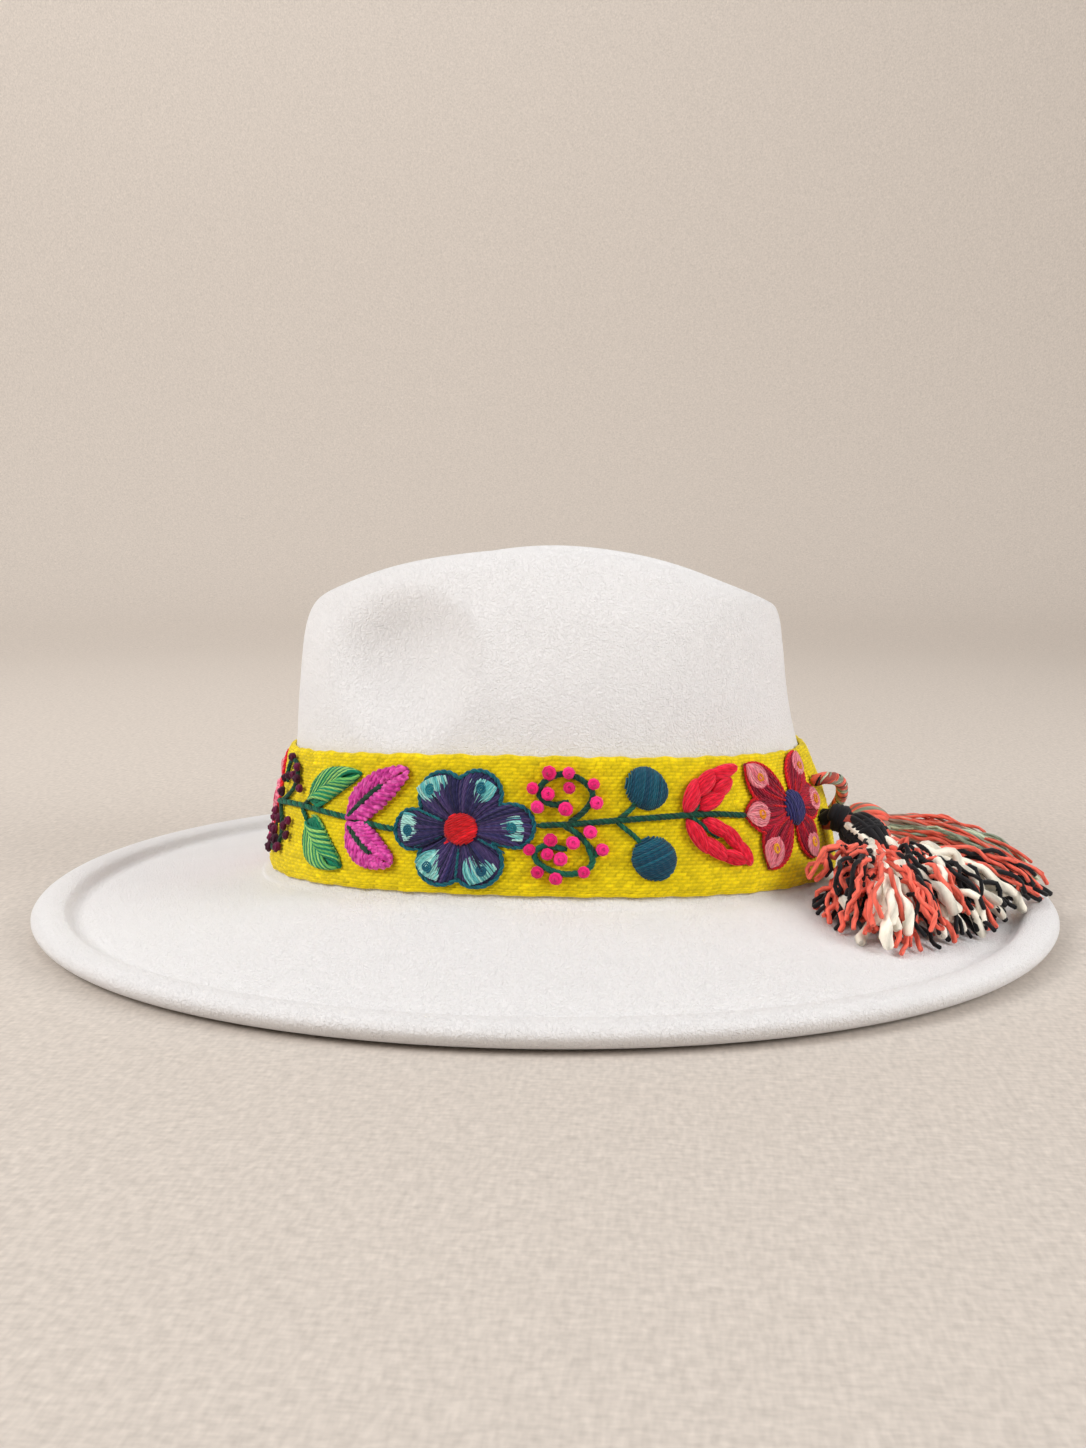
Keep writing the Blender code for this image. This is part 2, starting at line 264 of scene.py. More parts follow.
def grid_faces(rows, columns, close_rows=False, close_columns=False):
    """Quads of a grid whose points are listed row by row."""
    r = np.arange(rows if close_rows else rows - 1)[:, None]
    c = np.arange(columns if close_columns else columns - 1)[None, :]
    r_next, c_next = (r + 1) % rows, (c + 1) % columns
    quads = [r * columns + c, r * columns + c_next, r_next * columns + c_next, r_next * columns + c]
    shape = np.broadcast_shapes(r.shape, c.shape)
    return np.stack([np.broadcast_to(q, shape) for q in quads], -1).reshape(-1, 4)


class Threads:
    """Gathers round threads and makes them one mesh with each thread's colour and twist."""

    def __init__(self):
        self.points, self.quads, self.caps, self.colors = [], [], [], []
        self.quad_twists, self.cap_twists, self.count = [], [], 0

    def add(self, paths, radii, colors, sides=6):
        """paths is (threads, steps, 3); radii is per thread and step; colours per thread or step."""
        paths = np.asarray(paths, float)
        threads, steps, _ = paths.shape
        radii = np.broadcast_to(radii, (threads, steps))
        colors = np.asarray(colors, float)
        if colors.ndim < 3:
            colors = np.broadcast_to(colors, (threads, 3))[:, None]
        colors = np.broadcast_to(colors, (threads, steps, 3))
        ahead = unit(np.gradient(paths, axis=1))
        first = paths[:, :1] - ahead[:, :1] * radii[:, :1, None] * 0.5
        last = paths[:, -1:] + ahead[:, -1:] * radii[:, -1:, None] * 0.5
        paths = np.concatenate([first, paths, last], 1)
        ahead = np.concatenate([ahead[:, :1], ahead, ahead[:, -1:]], 1)
        radii = np.concatenate([radii[:, :1] * 0.5, radii, radii[:, -1:] * 0.5], 1)
        colors = np.concatenate([colors[:, :1], colors, colors[:, -1:]], 1)
        steps += 2
        upright = np.array([0.04, 0.03, 1.0])
        across = [unit(np.cross(ahead[:, 0], upright))]
        for k in range(1, steps):
            turned = across[-1] - (across[-1] * ahead[:, k]).sum(-1, keepdims=True) * ahead[:, k]
            across.append(unit(turned))
        across = np.stack(across, 1)
        up = np.cross(across, ahead)
        angle = 2 * math.pi * np.arange(sides) / sides
        ring = across[:, :, None] * np.cos(angle)[:, None] + up[:, :, None] * np.sin(angle)[:, None]
        points = paths[:, :, None] + ring * radii[:, :, None, None]
        self.points.append(points.reshape(-1, 3))
        self.colors.append(np.repeat(colors.reshape(-1, 3), sides, 0))
        base = self.count + np.arange(threads)[:, None] * steps * sides
        quads = grid_faces(steps, sides, close_columns=True)[:, [0, 3, 2, 1]]
        self.quads.append((base[:, :, None] + quads).reshape(-1, 4))
        starts = base + np.arange(sides)
        ends = (base + (steps - 1) * sides + np.arange(sides))[:, ::-1]
        self.caps.append((sides, np.concatenate([starts, ends])))
        moved = np.linalg.norm(np.diff(paths, axis=1), axis=2)
        long = np.concatenate([np.zeros((threads, 1)), np.cumsum(moved, 1)], 1)
        long = long / np.maximum(2 * radii.mean(1, keepdims=True), 0.01)
        around = np.broadcast_to(np.arange(sides) / sides, (threads, steps - 1, sides))
        here = np.broadcast_to(long[:, :-1, None], around.shape)
        there = np.broadcast_to(long[:, 1:, None], around.shape)
        after = around + 1 / sides
        corners = [(around, here), (around, there), (after, there), (after, here)]
        self.quad_twists.append(np.stack([np.stack(c, -1) for c in corners], 3).reshape(-1, 2))
        self.cap_twists.append(np.zeros((2 * threads * sides, 2)))
        self.count += threads * steps * sides

    def piece(self, name, material):
        cap_sides = sorted({sides for sides, _ in self.caps})
        groups = [np.concatenate(self.quads)]
        for wanted in cap_sides:
            groups.append(np.concatenate([faces for sides, faces in self.caps if sides == wanted]))
        twists = np.concatenate(self.quad_twists + self.cap_twists)
        return add_mesh(name, np.concatenate(self.points), groups, material,
                        np.concatenate(self.colors), twists)


def add_node(tree, kind, inputs=None, **settings):
    """A shader node; an input's value may be a number, a colour or another node's output."""
    node = tree.nodes.new(kind)
    for key, value in settings.items():
        setattr(node, key, value)
    for key, value in (inputs or {}).items():
        if isinstance(value, bpy.types.NodeSocket):
            tree.links.new(value, node.inputs[key])
        else:
            node.inputs[key].default_value = value
    return node


def math_node(tree, operation, *values):
    return add_node(tree, "ShaderNodeMath", dict(enumerate(values)), operation=operation).outputs[0]


def times(tree, *values):
    return math_node(tree, "MULTIPLY", *values)


def plus(tree, *values):
    return math_node(tree, "ADD", *values)


def noise(tree, place, scale, detail=3.0, roughness=0.5, distortion=0.0):
    settings = {"Vector": place, "Scale": scale, "Detail": detail,
                "Roughness": roughness, "Distortion": distortion}
    return add_node(tree, "ShaderNodeTexNoise", settings).outputs["Fac"]


def curly_lines(tree, place, scale, sharpness):
    """Thin curling lines, 1 on a line and 0 between them."""
    level = noise(tree, place, scale, 2.0, 0.5, 0.6)
    off = math_node(tree, "ABSOLUTE", math_node(tree, "SUBTRACT", level, 0.5))
    line = math_node(tree, "SUBTRACT", 1.0, times(tree, off, sharpness))
    return math_node(tree, "MAXIMUM", line, 0.0)


def shaded(tree, color, level, low, high):
    """The colour times a factor that goes from low to high with the level."""
    factor = add_node(tree, "ShaderNodeMapRange", {"Value": level, "To Min": low, "To Max": high}).outputs[0]
    mix = add_node(tree, "ShaderNodeVectorMath", {0: color, "Scale": factor}, operation="SCALE")
    return mix.outputs[0]


def new_material(name, roughness, sheen, sheen_roughness=0.5, specular=0.3):
    material = bpy.data.materials.new(name)
    material.use_nodes = True
    shader = material.node_tree.nodes["Principled BSDF"]
    shader.inputs["Roughness"].default_value = roughness
    shader.inputs["Sheen Weight"].default_value = sheen
    shader.inputs["Sheen Roughness"].default_value = sheen_roughness
    shader.inputs["Specular IOR Level"].default_value = specular
    return material, material.node_tree, shader


def bump(tree, shader, height, distance, strength=1.0):
    node = add_node(tree, "ShaderNodeBump", {"Height": height, "Distance": distance, "Strength": strength})
    tree.links.new(node.outputs[0], shader.inputs["Normal"])


# Reflectance of the bleached wool.
FELT_WHITE = (0.885, 0.875, 0.88)

# Yarn: how deep the grooves between its plies are, how dark they are painted as shade, and the tone of its
# dark fibres.
PLY_DEPTH = 0.0002
PAINTED_GROOVE_SHADE = 0.72
FIBRE_SHADE = 0.8


def felt_material():
    """White wool felt: short fibres that curl over a soft, slightly uneven surface."""
    material, tree, shader = new_material("white_wool_felt", 0.95, 0.25, 0.6, 0.15)
    place = add_node(tree, "ShaderNodeTexCoord").outputs["Object"]
    fine = curly_lines(tree, place, 900.0, 9.0)
    coarse = curly_lines(tree, place, 480.0, 10.0)
    nap = noise(tree, place, 1500.0, 3.0, 0.7)
    cloud = noise(tree, place, 60.0, 3.0, 0.6)
    fibres = plus(tree, times(tree, fine, 0.5), times(tree, coarse, 0.5))
    height = plus(tree, fibres, times(tree, nap, 1.2))
    white = add_node(tree, "ShaderNodeRGB").outputs[0]
    white.default_value = (*FELT_WHITE, 1.0)
    # Painted shade: the white is a little darker where the fibre bump is low and a little lighter on its
    # tops; the cloud is the felt's own uneven tone.
    tone = shaded(tree, shaded(tree, white, cloud, 0.97, 1.02), height, 0.94, 1.02)
    tree.links.new(tone, shader.inputs["Base Color"])
    bump(tree, shader, height, 0.00034, 0.9)
    return material


def yarn_material(name, plies, slant, roughness, sheen):
    """Twisted yarn in its own colours: plies wind round it, with fine fibres along them."""
    material, tree, shader = new_material(name, roughness, sheen, 0.5, 0.25)
    color = add_node(tree, "ShaderNodeAttribute", attribute_name="yarn_color_and_shade").outputs["Color"]
    twist = add_node(tree, "ShaderNodeUVMap", uv_map="twist").outputs[0]
    split = add_node(tree, "ShaderNodeSeparateXYZ", {0: twist})
    turn = plus(tree, times(tree, split.outputs[0], plies), times(tree, split.outputs[1], slant))
    wave = math_node(tree, "ABSOLUTE", math_node(tree, "SINE", times(tree, turn, math.pi)))
    place = add_node(tree, "ShaderNodeTexCoord").outputs["Object"]
    drawn = add_node(tree, "ShaderNodeCombineXYZ", {0: times(tree, turn, 6.0), 1: split.outputs[1]})
    fibres = noise(tree, drawn.outputs[0], 1.5, 3.0, 0.6)
    cloud = noise(tree, place, 350.0, 2.0)
    # Painted shade in the grooves between the plies, a little lighter on their crests.
    tone = shaded(tree, color, wave, PAINTED_GROOVE_SHADE, 1.08)
    tone = shaded(tree, tone, fibres, FIBRE_SHADE, 2.0 - FIBRE_SHADE)
    tone = shaded(tree, tone, cloud, 0.85, 1.15)
    tree.links.new(tone, shader.inputs["Base Color"])
    height = plus(tree, wave, times(tree, fibres, 0.5))
    bump(tree, shader, height, PLY_DEPTH, 0.9)
    return material


def weave_material():
    """Yellow wool weft: each float has its own tint, with fuzzy fibres along it."""
    material, tree, shader = new_material("yellow_wool_weave", 0.85, 0.15, 0.5, 0.2)
    color = add_node(tree, "ShaderNodeAttribute", attribute_name="yarn_color_and_shade").outputs["Color"]
    place = add_node(tree, "ShaderNodeTexCoord").outputs["Object"]
    fuzz = curly_lines(tree, place, 1300.0, 7.0)
    grain = noise(tree, place, 2200.0, 3.0, 0.6)
    height = plus(tree, times(tree, fuzz, 0.5), grain)
    # Painted shade: the yellow is darker where the fuzz bump is low and lighter on its tops; the noise below
    # is the yarn's own uneven tone.
    tone = shaded(tree, color, height, 0.82, 1.12)
    tone = shaded(tree, tone, noise(tree, place, 120.0, 2.0), 0.92, 1.08)
    tree.links.new(tone, shader.inputs["Base Color"])
    bump(tree, shader, height, 0.00016, 0.8)
    return material


# Fine levels of the felt between the rings, and the waves left by shaping it by hand.
HEM_LEVELS = 34
TOP_STEPS = 8
UNDER_STEPS = 4
FELT_WAVES = ((0.22, 3, 1.3, 0.4), (0.16, 5, -2.1, 1.7), (0.12, 8, 2.7, 2.9))


def oval(u, side, length):
    swell = 1.0 + FULLNESS * np.sin(2 * u) ** 2
    return side * np.cos(u) * swell, length * np.sin(u) * swell


def build_felt(material):
    """Brim and crown as one closed wall with a hem that is turned over and under."""
    angles = 2 * math.pi * np.arange(FELT_COLUMNS) / FELT_COLUMNS
    rings = []
    for inset, height in smooth_line(HEM, HEM_LEVELS):
        x, y = oval(angles, BRIM_HALF_WIDTH - inset, BRIM_HALF_LENGTH - inset)
        rings.append(np.stack([x, y, np.full_like(x, height)], -1))
    for v in np.linspace(0, LAST_RING, LAST_RING * TOP_STEPS + 1):
        place, away = felt_point(angles, v), felt_normal(angles, v)
        wave = 0.0
        for size, turns, lean, start in FELT_WAVES:
            wave = wave + size * np.sin(turns * angles + lean * v + start)
        settled = np.clip(v / 1.5, 0, 1) * np.clip((LAST_RING - v) / 1.5, 0, 1)
        settled *= np.clip(BAND_LOW - v, 0, 1) + np.clip(v - BAND_TOP, 0, 1)
        rings.append(place + away * (wave * settled)[:, None])
    top_count = len(rings)
    for v in np.linspace(LAST_RING, 0, LAST_RING * UNDER_STEPS + 1):
        rings.append(felt_point(angles, v) - felt_normal(angles, v, UNDER_NORMAL_STEP) * FELT_WALL)
    count = len(rings)
    quads = grid_faces(count, FELT_COLUMNS, close_rows=True, close_columns=True)
    # The two innermost rings are closed along the crease instead of being joined.
    row = np.repeat(np.arange(count), FELT_COLUMNS)
    quads = quads[row != top_count - 1]
    outside = crease_faces((top_count - 1) * FELT_COLUMNS, False)
    inside = crease_faces(top_count * FELT_COLUMNS, True)
    ends = [*outside, *inside]
    body = add_mesh("felt_fine", np.concatenate(rings), [quads] + ends, material)
    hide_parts("felt_body")
    return body


def crease_faces(start, turned):
    """Closes a ring by joining each point to the one across the crease."""
    quarter = FELT_COLUMNS // 4
    k = np.arange(-quarter, quarter)
    left, left_next = k % FELT_COLUMNS, (k + 1) % FELT_COLUMNS
    right, right_next = (2 * quarter - k) % FELT_COLUMNS, (2 * quarter - k - 1) % FELT_COLUMNS
    quads = np.stack([left, left_next, right_next, right], -1) + start
    ends = np.array([[quads[0][0], quads[0][1], quads[0][2]], [quads[-1][0], quads[-1][1], quads[-1][3]]])
    if turned:
        return quads[1:-1, ::-1], ends[:, ::-1]
    return quads[1:-1], ends


# Weave of the band: long weft floats laid like bricks.
FLOAT_LENGTH = 2.8
FLOAT_ROWS = 39
COLUMNS_PER_FLOAT = 5
FLOAT_HEIGHT = 0.75
FLOAT_DRIFT = 0.06
YELLOW = rgb(255, 226, 6)
# Painted shade: the share of the yellow left in the gaps and low lines between the floats.
PAINTED_GAP_SHADE = 0.62

# Where the band's edges leave their straight line: place along, width of the bend, and shift up.
TOP_EDGE_BENDS = ((-38.0, 13.0, -2.6), (14.0, 26.0, 0.5), (104.0, 12.0, 0.8), (-110.0, 20.0, 0.6))
LOW_EDGE_BENDS = ((-19.0, 24.0, -1.9), (40.0, 22.0, 0.6), (-95.0, 20.0, 0.5))
EDGE_REACH = 16.0


def edge_shift(s, bends, phase):
    """How far an edge of the band lies above its straight line, hand-woven waves included."""
    shift = 0.22 * np.sin(s / 2.9 + phase) + 0.16 * np.sin(s / 1.27 + 2 * phase)
    for middle, width, up in bends:
        shift += up * np.exp(-(((s - middle) / width) ** 2))
    return shift


# Lines of the band's inner face, as shares of its width.
INNER_LINES = (0.85, 0.6, 0.35, 0.12)

# The rounded edge: how much of the band's height is left, and how far out it lies.
EDGE_ROLL = ((0.75, 0.35), (0.4, 0.45), (0.12, 0.2), (0.0, -0.3))


def rolled_edge(line, fraction, out):
    """The edge's line, moved out and down towards the felt."""
    edge = line.copy()
    edge[:, 1] += out
    edge[:, 2] = BAND_INNER + (edge[:, 2] - BAND_INNER) * fraction
    return edge


def build_band(material):
    rng = np.random.default_rng(11)
    floats = round(BAND_LENGTH / FLOAT_LENGTH)
    columns = floats * COLUMNS_PER_FLOAT
    at = np.linspace(0, floats, columns)
    s = np.linspace(SEAM_S + BAND_SEAM_GAP / 2, SEAM_S + BAND_LENGTH - BAND_SEAM_GAP / 2, columns)
    lines = 2 * FLOAT_ROWS + 1
    t = np.linspace(0, BAND_WIDTH, lines)
    row = np.minimum(np.arange(lines) // 2, FLOAT_ROWS - 1)
    drift = np.stack([wobble(rng, columns, 14) * 0.10 for _ in range(FLOAT_ROWS)])
    offset = (np.arange(FLOAT_ROWS) % 2) * 0.5 + FLOAT_DRIFT * np.arange(FLOAT_ROWS)
    place = at[None] + offset[:, None] + drift
    number = np.floor(place).astype(int)
    hump = np.sin(math.pi * (place - number)) ** 0.55
    tints = rng.normal(1.0, 0.10, (FLOAT_ROWS, floats + 8))
    sizes = rng.uniform(0.75, 1.1, (FLOAT_ROWS, floats + 8))
    tint = np.take_along_axis(tints, number + 2, 1)[row]
    size = np.take_along_axis(sizes, number + 2, 1)[row]
    crest = (np.arange(lines) % 2).astype(float)[:, None]
    relief = hump[row] * (0.25 + 0.75 * crest) * size
    shifted = t[:, None] + wobble(rng, columns, 9)[None] * 0.25
    top = np.clip(1 - (BAND_WIDTH - t[:, None]) / EDGE_REACH, 0, 1) ** 2
    low = np.clip(1 - t[:, None] / EDGE_REACH, 0, 1) ** 2
    shifted += top * edge_shift(s, TOP_EDGE_BENDS, 0.7) + low * edge_shift(s, LOW_EDGE_BENDS, 2.1)
    height = BAND_OUTER - FLOAT_HEIGHT + relief * FLOAT_HEIGHT + 0.12 * wobble(rng, columns, 20)[None]
    height = height - 0.9 * (top**6 + low**6)
    # Painted shade: the yellow darkens where the floats are low, in their gaps and valleys; each float's
    # tint is the yarn's own.
    tone = (PAINTED_GAP_SHADE + (1 - PAINTED_GAP_SHADE) * np.clip(relief, 0, 1)) * tint
    outer = np.stack([np.broadcast_to(s, height.shape), shifted, height], -1)
    roll = [rolled_edge(outer[-1], fraction, inset) for fraction, inset in EDGE_ROLL]
    inner = []
    for share in INNER_LINES:
        line = outer[0] + (outer[-1] - outer[0]) * share
        line[:, 2] = BAND_INNER
        inner.append(line)
    unroll = [rolled_edge(outer[0], fraction, -inset) for fraction, inset in reversed(EDGE_ROLL)]
    loop = np.concatenate([outer, np.stack(roll + inner + unroll)])
    flare = np.minimum(loop[..., 1], 0.0)
    loop[..., 2] -= 1.3 * flare
    # Painted shade: the rolled edges and the inner face get 0.8 of the yellow.
    edge_painted_shade = np.full((len(loop) - lines, columns), 0.8)
    colors = np.concatenate([tone, edge_painted_shade])[..., None] * YELLOW
    count = len(loop)
    quads = grid_faces(count, columns, close_rows=True)
    first, last = np.arange(count) * columns, np.arange(count) * columns + columns - 1
    ends = np.stack([first, last[::-1]])
    places = on_band(loop).reshape(-1, 3)
    band = add_mesh("band_weave", places, [quads, ends], material, colors.reshape(-1, 3))
    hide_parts("band")
    return band


# Embroidery. Threads lie at this height over the felt, on the tops of the floats. They vary a
# little in height, and in thickness between these shares.
STITCH_BASE = 3.25
UNEVEN = 0.05
THINNEST = 0.88
THICKEST = 1.12
SATIN_SIDES = 5
DOME_STEPS = 9
ROPE_STEP = 0.62
KNOT_STEPS = 20
KNOT_TURNS = 2.3
COIL_STEPS = 14
COIL_SQUEEZE = 0.85

BLUE_CENTER = (-18.0, 21.3)
RED_CENTER = (99.5, 25.3)

PALETTES = {
    "indigo": (rgb(58, 48, 98), rgb(70, 55, 104), rgb(42, 40, 88), rgb(30, 30, 70)),
    "teal": (rgb(10, 104, 118), rgb(8, 88, 104), rgb(16, 116, 126)),
    "aqua": (rgb(120, 204, 200), rgb(152, 220, 212), rgb(96, 186, 190), rgb(176, 230, 220)),
    "eye": (rgb(20, 130, 146), rgb(14, 104, 128), rgb(12, 84, 110)),
    "red": (rgb(222, 12, 26), rgb(200, 8, 22), rgb(236, 20, 34)),
    "green": (rgb(8, 92, 66), rgb(6, 78, 58), rgb(18, 104, 78), rgb(20, 66, 50)),
    "knot": (rgb(244, 24, 122), rgb(228, 16, 106), rgb(250, 40, 134)),
    "ball": (rgb(12, 84, 108), rgb(8, 70, 96), rgb(20, 98, 120)),
    "emerald": (rgb(0, 136, 96), rgb(0, 120, 88), rgb(10, 150, 108)),
    "lime": (rgb(140, 206, 104), rgb(160, 216, 116), rgb(112, 192, 100)),
    "orchid": (rgb(226, 76, 170), rgb(210, 58, 156), rgb(236, 98, 184), rgb(196, 48, 144)),
    "moss": (rgb(34, 72, 52), rgb(26, 60, 46), rgb(44, 84, 58)),
    "scarlet": (rgb(238, 16, 54), rgb(224, 10, 46), rgb(246, 34, 66)),
    "maroon": (rgb(172, 8, 46), rgb(150, 6, 42), rgb(192, 12, 50), rgb(128, 4, 40)),
    "blossom": (rgb(238, 138, 150), rgb(244, 156, 164), rgb(230, 120, 134)),
    "amber": (rgb(250, 176, 32), rgb(244, 150, 20)),
    "navy": (rgb(52, 52, 112), rgb(42, 44, 98), rgb(64, 62, 124)),
    "berry": (rgb(84, 10, 48), rgb(64, 10, 40), rgb(104, 16, 62)),
    "rose": (rgb(240, 120, 150), rgb(246, 150, 172), rgb(228, 92, 130)),
}


def pick(rng, palette, count, spread=0.08):
    """A colour of the palette for each thread, each a little lighter or darker."""
    colors = np.array(PALETTES[palette])
    return colors[rng.integers(len(colors), size=count)] * rng.normal(1.0, spread, (count, 1)).clip(0.6, 1.4)


class Stitches(Threads):
    """Threads given by flat places on the band, sewn on one side of the hat."""

    def __init__(self, far_side, seed):
        super().__init__()
        self.far_side = far_side
        self.rng = np.random.default_rng(seed)

    def sew(self, flat, radii, colors, sides=6):
        flat = mirrored(flat) if self.far_side else flat
        self.add(on_band(flat), radii, colors, sides)

    def lay(self, grid, count, steps, radius, dome, palette, base=0.0):
        """Satin stitches: grid(a, b) gives flat places, a along a thread and b across them."""
        b = (np.arange(count) + 0.5) / count
        b = np.clip(b + self.rng.normal(0, 0.12 / count, count), 0.01, 0.99)
        a = np.linspace(0.0, 1.0, steps)
        places = grid(*np.broadcast_arrays(a[None, :], b[:, None]))
        rise = (4 * a * (1 - a))[None] ** 0.45 * (4 * b * (1 - b))[:, None] ** 0.5
        height = STITCH_BASE + base + dome * rise + self.rng.normal(0, UNEVEN, (count, 1))
        flat = np.concatenate([places, height[..., None]], -1)
        radii = radius * self.rng.uniform(THINNEST, THICKEST, (count, 1)) * np.ones((1, steps))
        self.sew(flat, radii, pick(self.rng, palette, count), SATIN_SIDES)

    def rope(self, route, width, palette, base=0.0, strands=3, pitch=5.0):
        """Stem stitch: strands that wind round a route."""
        route = np.asarray(route, float)
        long = lengths_along(smooth_line(route, 60))[-1]
        steps = max(8, int(long / ROPE_STEP))
        line = smooth_line(route, steps)
        ahead = unit(np.gradient(line, axis=0))
        aside = np.stack([-ahead[:, 1], ahead[:, 0]], -1)
        turn = lengths_along(line)[None] / pitch + np.arange(strands)[:, None] / strands
        turn = 2 * math.pi * turn
        off = 0.24 * width
        places = line[None] + aside[None] * (off * np.cos(turn))[..., None]
        height = STITCH_BASE + base + width * 0.22 + off * np.sin(turn) * 0.8
        taper = np.clip(np.minimum(np.arange(steps), np.arange(steps)[::-1]) / 2.0, 0.55, 1.0)
        flat = np.concatenate([places, height[..., None]], -1)
        self.sew(flat, 0.31 * width * taper[None], pick(self.rng, palette, strands))

    def knots(self, places, radius, palette, base=0.0):
        """French knots: a thread wound up into a small round heap."""
        places = np.asarray(places, float)
        count = len(places)
        at = np.linspace(0, 1, KNOT_STEPS)[None]
        turn = 2 * math.pi * (KNOT_TURNS * at + self.rng.uniform(0, 1, (count, 1)))
        size = radius * self.rng.uniform(0.9, 1.12, (count, 1))
        wide = size * (0.62 * (1 - at**2.5) + 0.02)
        flat = np.stack([
            places[:, :1] + wide * np.cos(turn),
            places[:, 1:2] + wide * np.sin(turn),
            STITCH_BASE + base + size * (0.15 + 0.75 * at),
        ], -1)
        self.sew(flat, 0.46 * size * np.ones((1, KNOT_STEPS)), pick(self.rng, palette, count))

    def coil(self, place, radius, turns, thread, palette, base, hole=0.1):
        """An eye or ring: one thread laid in a flat spiral, a little narrower than high."""
        steps = int(COIL_STEPS * turns)
        at = np.linspace(0, 1, steps)
        turn = 2 * math.pi * turns * at + self.rng.uniform(0, 6)
        wide = radius * (1 - (1 - hole) * at)
        flat = np.stack([
            place[0] + wide * np.cos(turn) * COIL_SQUEEZE,
            place[1] + wide * np.sin(turn),
            np.full(steps, STITCH_BASE + base),
        ], -1)
        self.sew(flat[None], thread, pick(self.rng, palette, 1), 5)

    def dome(self, center, half_s, half_t, lean, height, count, thread, palette, base=0.0):
        """A padded round of parallel satin threads that lean by an angle in degrees."""
        turn = math.radians(lean)
        b = np.linspace(-0.97, 0.97, count)[:, None]
        a = np.linspace(-1, 1, DOME_STEPS)[None]
        chord = np.sqrt(1 - b**2) * a
        across = np.broadcast_to(b, chord.shape)
        p = chord * math.cos(turn) - across * math.sin(turn)
        q = chord * math.sin(turn) + across * math.cos(turn)
        rise = np.sqrt(np.maximum(1 - chord**2 - across**2, 0))
        jitter = self.rng.normal(0, UNEVEN, (count, 1))
        flat = np.stack([
            center[0] + half_s * p + jitter,
            center[1] + half_t * q + jitter,
            STITCH_BASE + base + height * rise + self.rng.normal(0, UNEVEN, (count, 1)),
        ], -1)
        radii = thread * self.rng.uniform(THINNEST, THICKEST, (count, 1)) * np.ones((1, DOME_STEPS))
        self.sew(flat, radii, pick(self.rng, palette, count), SATIN_SIDES)


def leaf_grid(base, tip, width, bend=0.0, roundness=0.8, swell=0.6):
    """Places on a leaf: a goes from base to tip, b from its right edge to its left."""
    base, tip = np.array(base, float), np.array(tip, float)
    axis = tip - base
    aside = np.array([-axis[1], axis[0]]) / np.linalg.norm(axis)

    def grid(a, b):
        wide = np.sin(math.pi * np.clip(a, 0, 1) ** roundness) ** swell
        shift = width * wide * (b - 0.5) + bend * np.sin(math.pi * a)
        return base + axis * a[..., None] + aside * shift[..., None]

    return grid


def corner_grid(tip, left, right, bulge=1.2):
    """Places on a kite-shaped patch: threads fan out from tip to the edge from right to left."""
    tip, left, right = (np.array(p, float) for p in (tip, left, right))
    out = unit((left + right) / 2 - tip)

    def grid(a, b):
        end = right + (left - right) * b[..., None] + out * (bulge * np.sin(math.pi * b))[..., None]
        fan = a[..., None] ** 0.85
        side = (end - tip) * fan
        away = np.stack([-(end - tip)[..., 1], (end - tip)[..., 0]], -1)
        return tip + side + away * (0.16 * np.sin(math.pi * a) * (2 * b - 1))[..., None]

    return grid


# Petals of the round flower: angle in degrees, distance of the petal's round from the centre, and
# that round's radius.
ROUND_PETALS = ((182.0, 16.2, 6.8), (123.0, 12.7, 8.2), (66.0, 12.4, 8.1), (5.0, 16.6, 7.2),
                (-63.0, 12.2, 8.2), (-119.0, 12.0, 8.2))
PETAL_SEAMS = (27.0, -27.0, -92.0, 158.0, 203.0)
# Patches at the petals' ends, from the flower's centre: tip, left and right corners, and eye.
PATCH_TABLE = (
    (-6.5, 7.5, -15.8, 12.8, -6.0, 17.3, -10.6, 12.6),
    (4.0, 7.5, 3.0, 16.4, 11.4, 13.6, 6.5, 13.4),
    (-11.0, -0.6, -18.6, -5.0, -19.5, 4.6, -17.6, -1.2),
    (10.5, 1.0, 18.4, 5.6, 19.5, -3.4, 16.6, 1.0),
    (-6.3, -7.0, -6.6, -17.0, -14.2, -11.2, -9.9, -12.6),
    (2.6, -7.6, 12.0, -12.4, 4.0, -18.0, 7.6, -13.2),
)
FLOWER_HEART = 5.4


def petal_reach(angle):
    """The outline of the round flower: the furthest of its petals' rounds in that direction."""
    reach = np.full_like(angle, 10.0)
    for lean, distance, radius in ROUND_PETALS:
        off = angle - math.radians(lean)
        inside = radius**2 - (distance * np.sin(off)) ** 2
        found = distance * np.cos(off) + np.sqrt(np.maximum(inside, 0))
        reach = np.maximum(reach, np.where((inside > 0) & (np.cos(off) > 0), found, 0))
    return reach


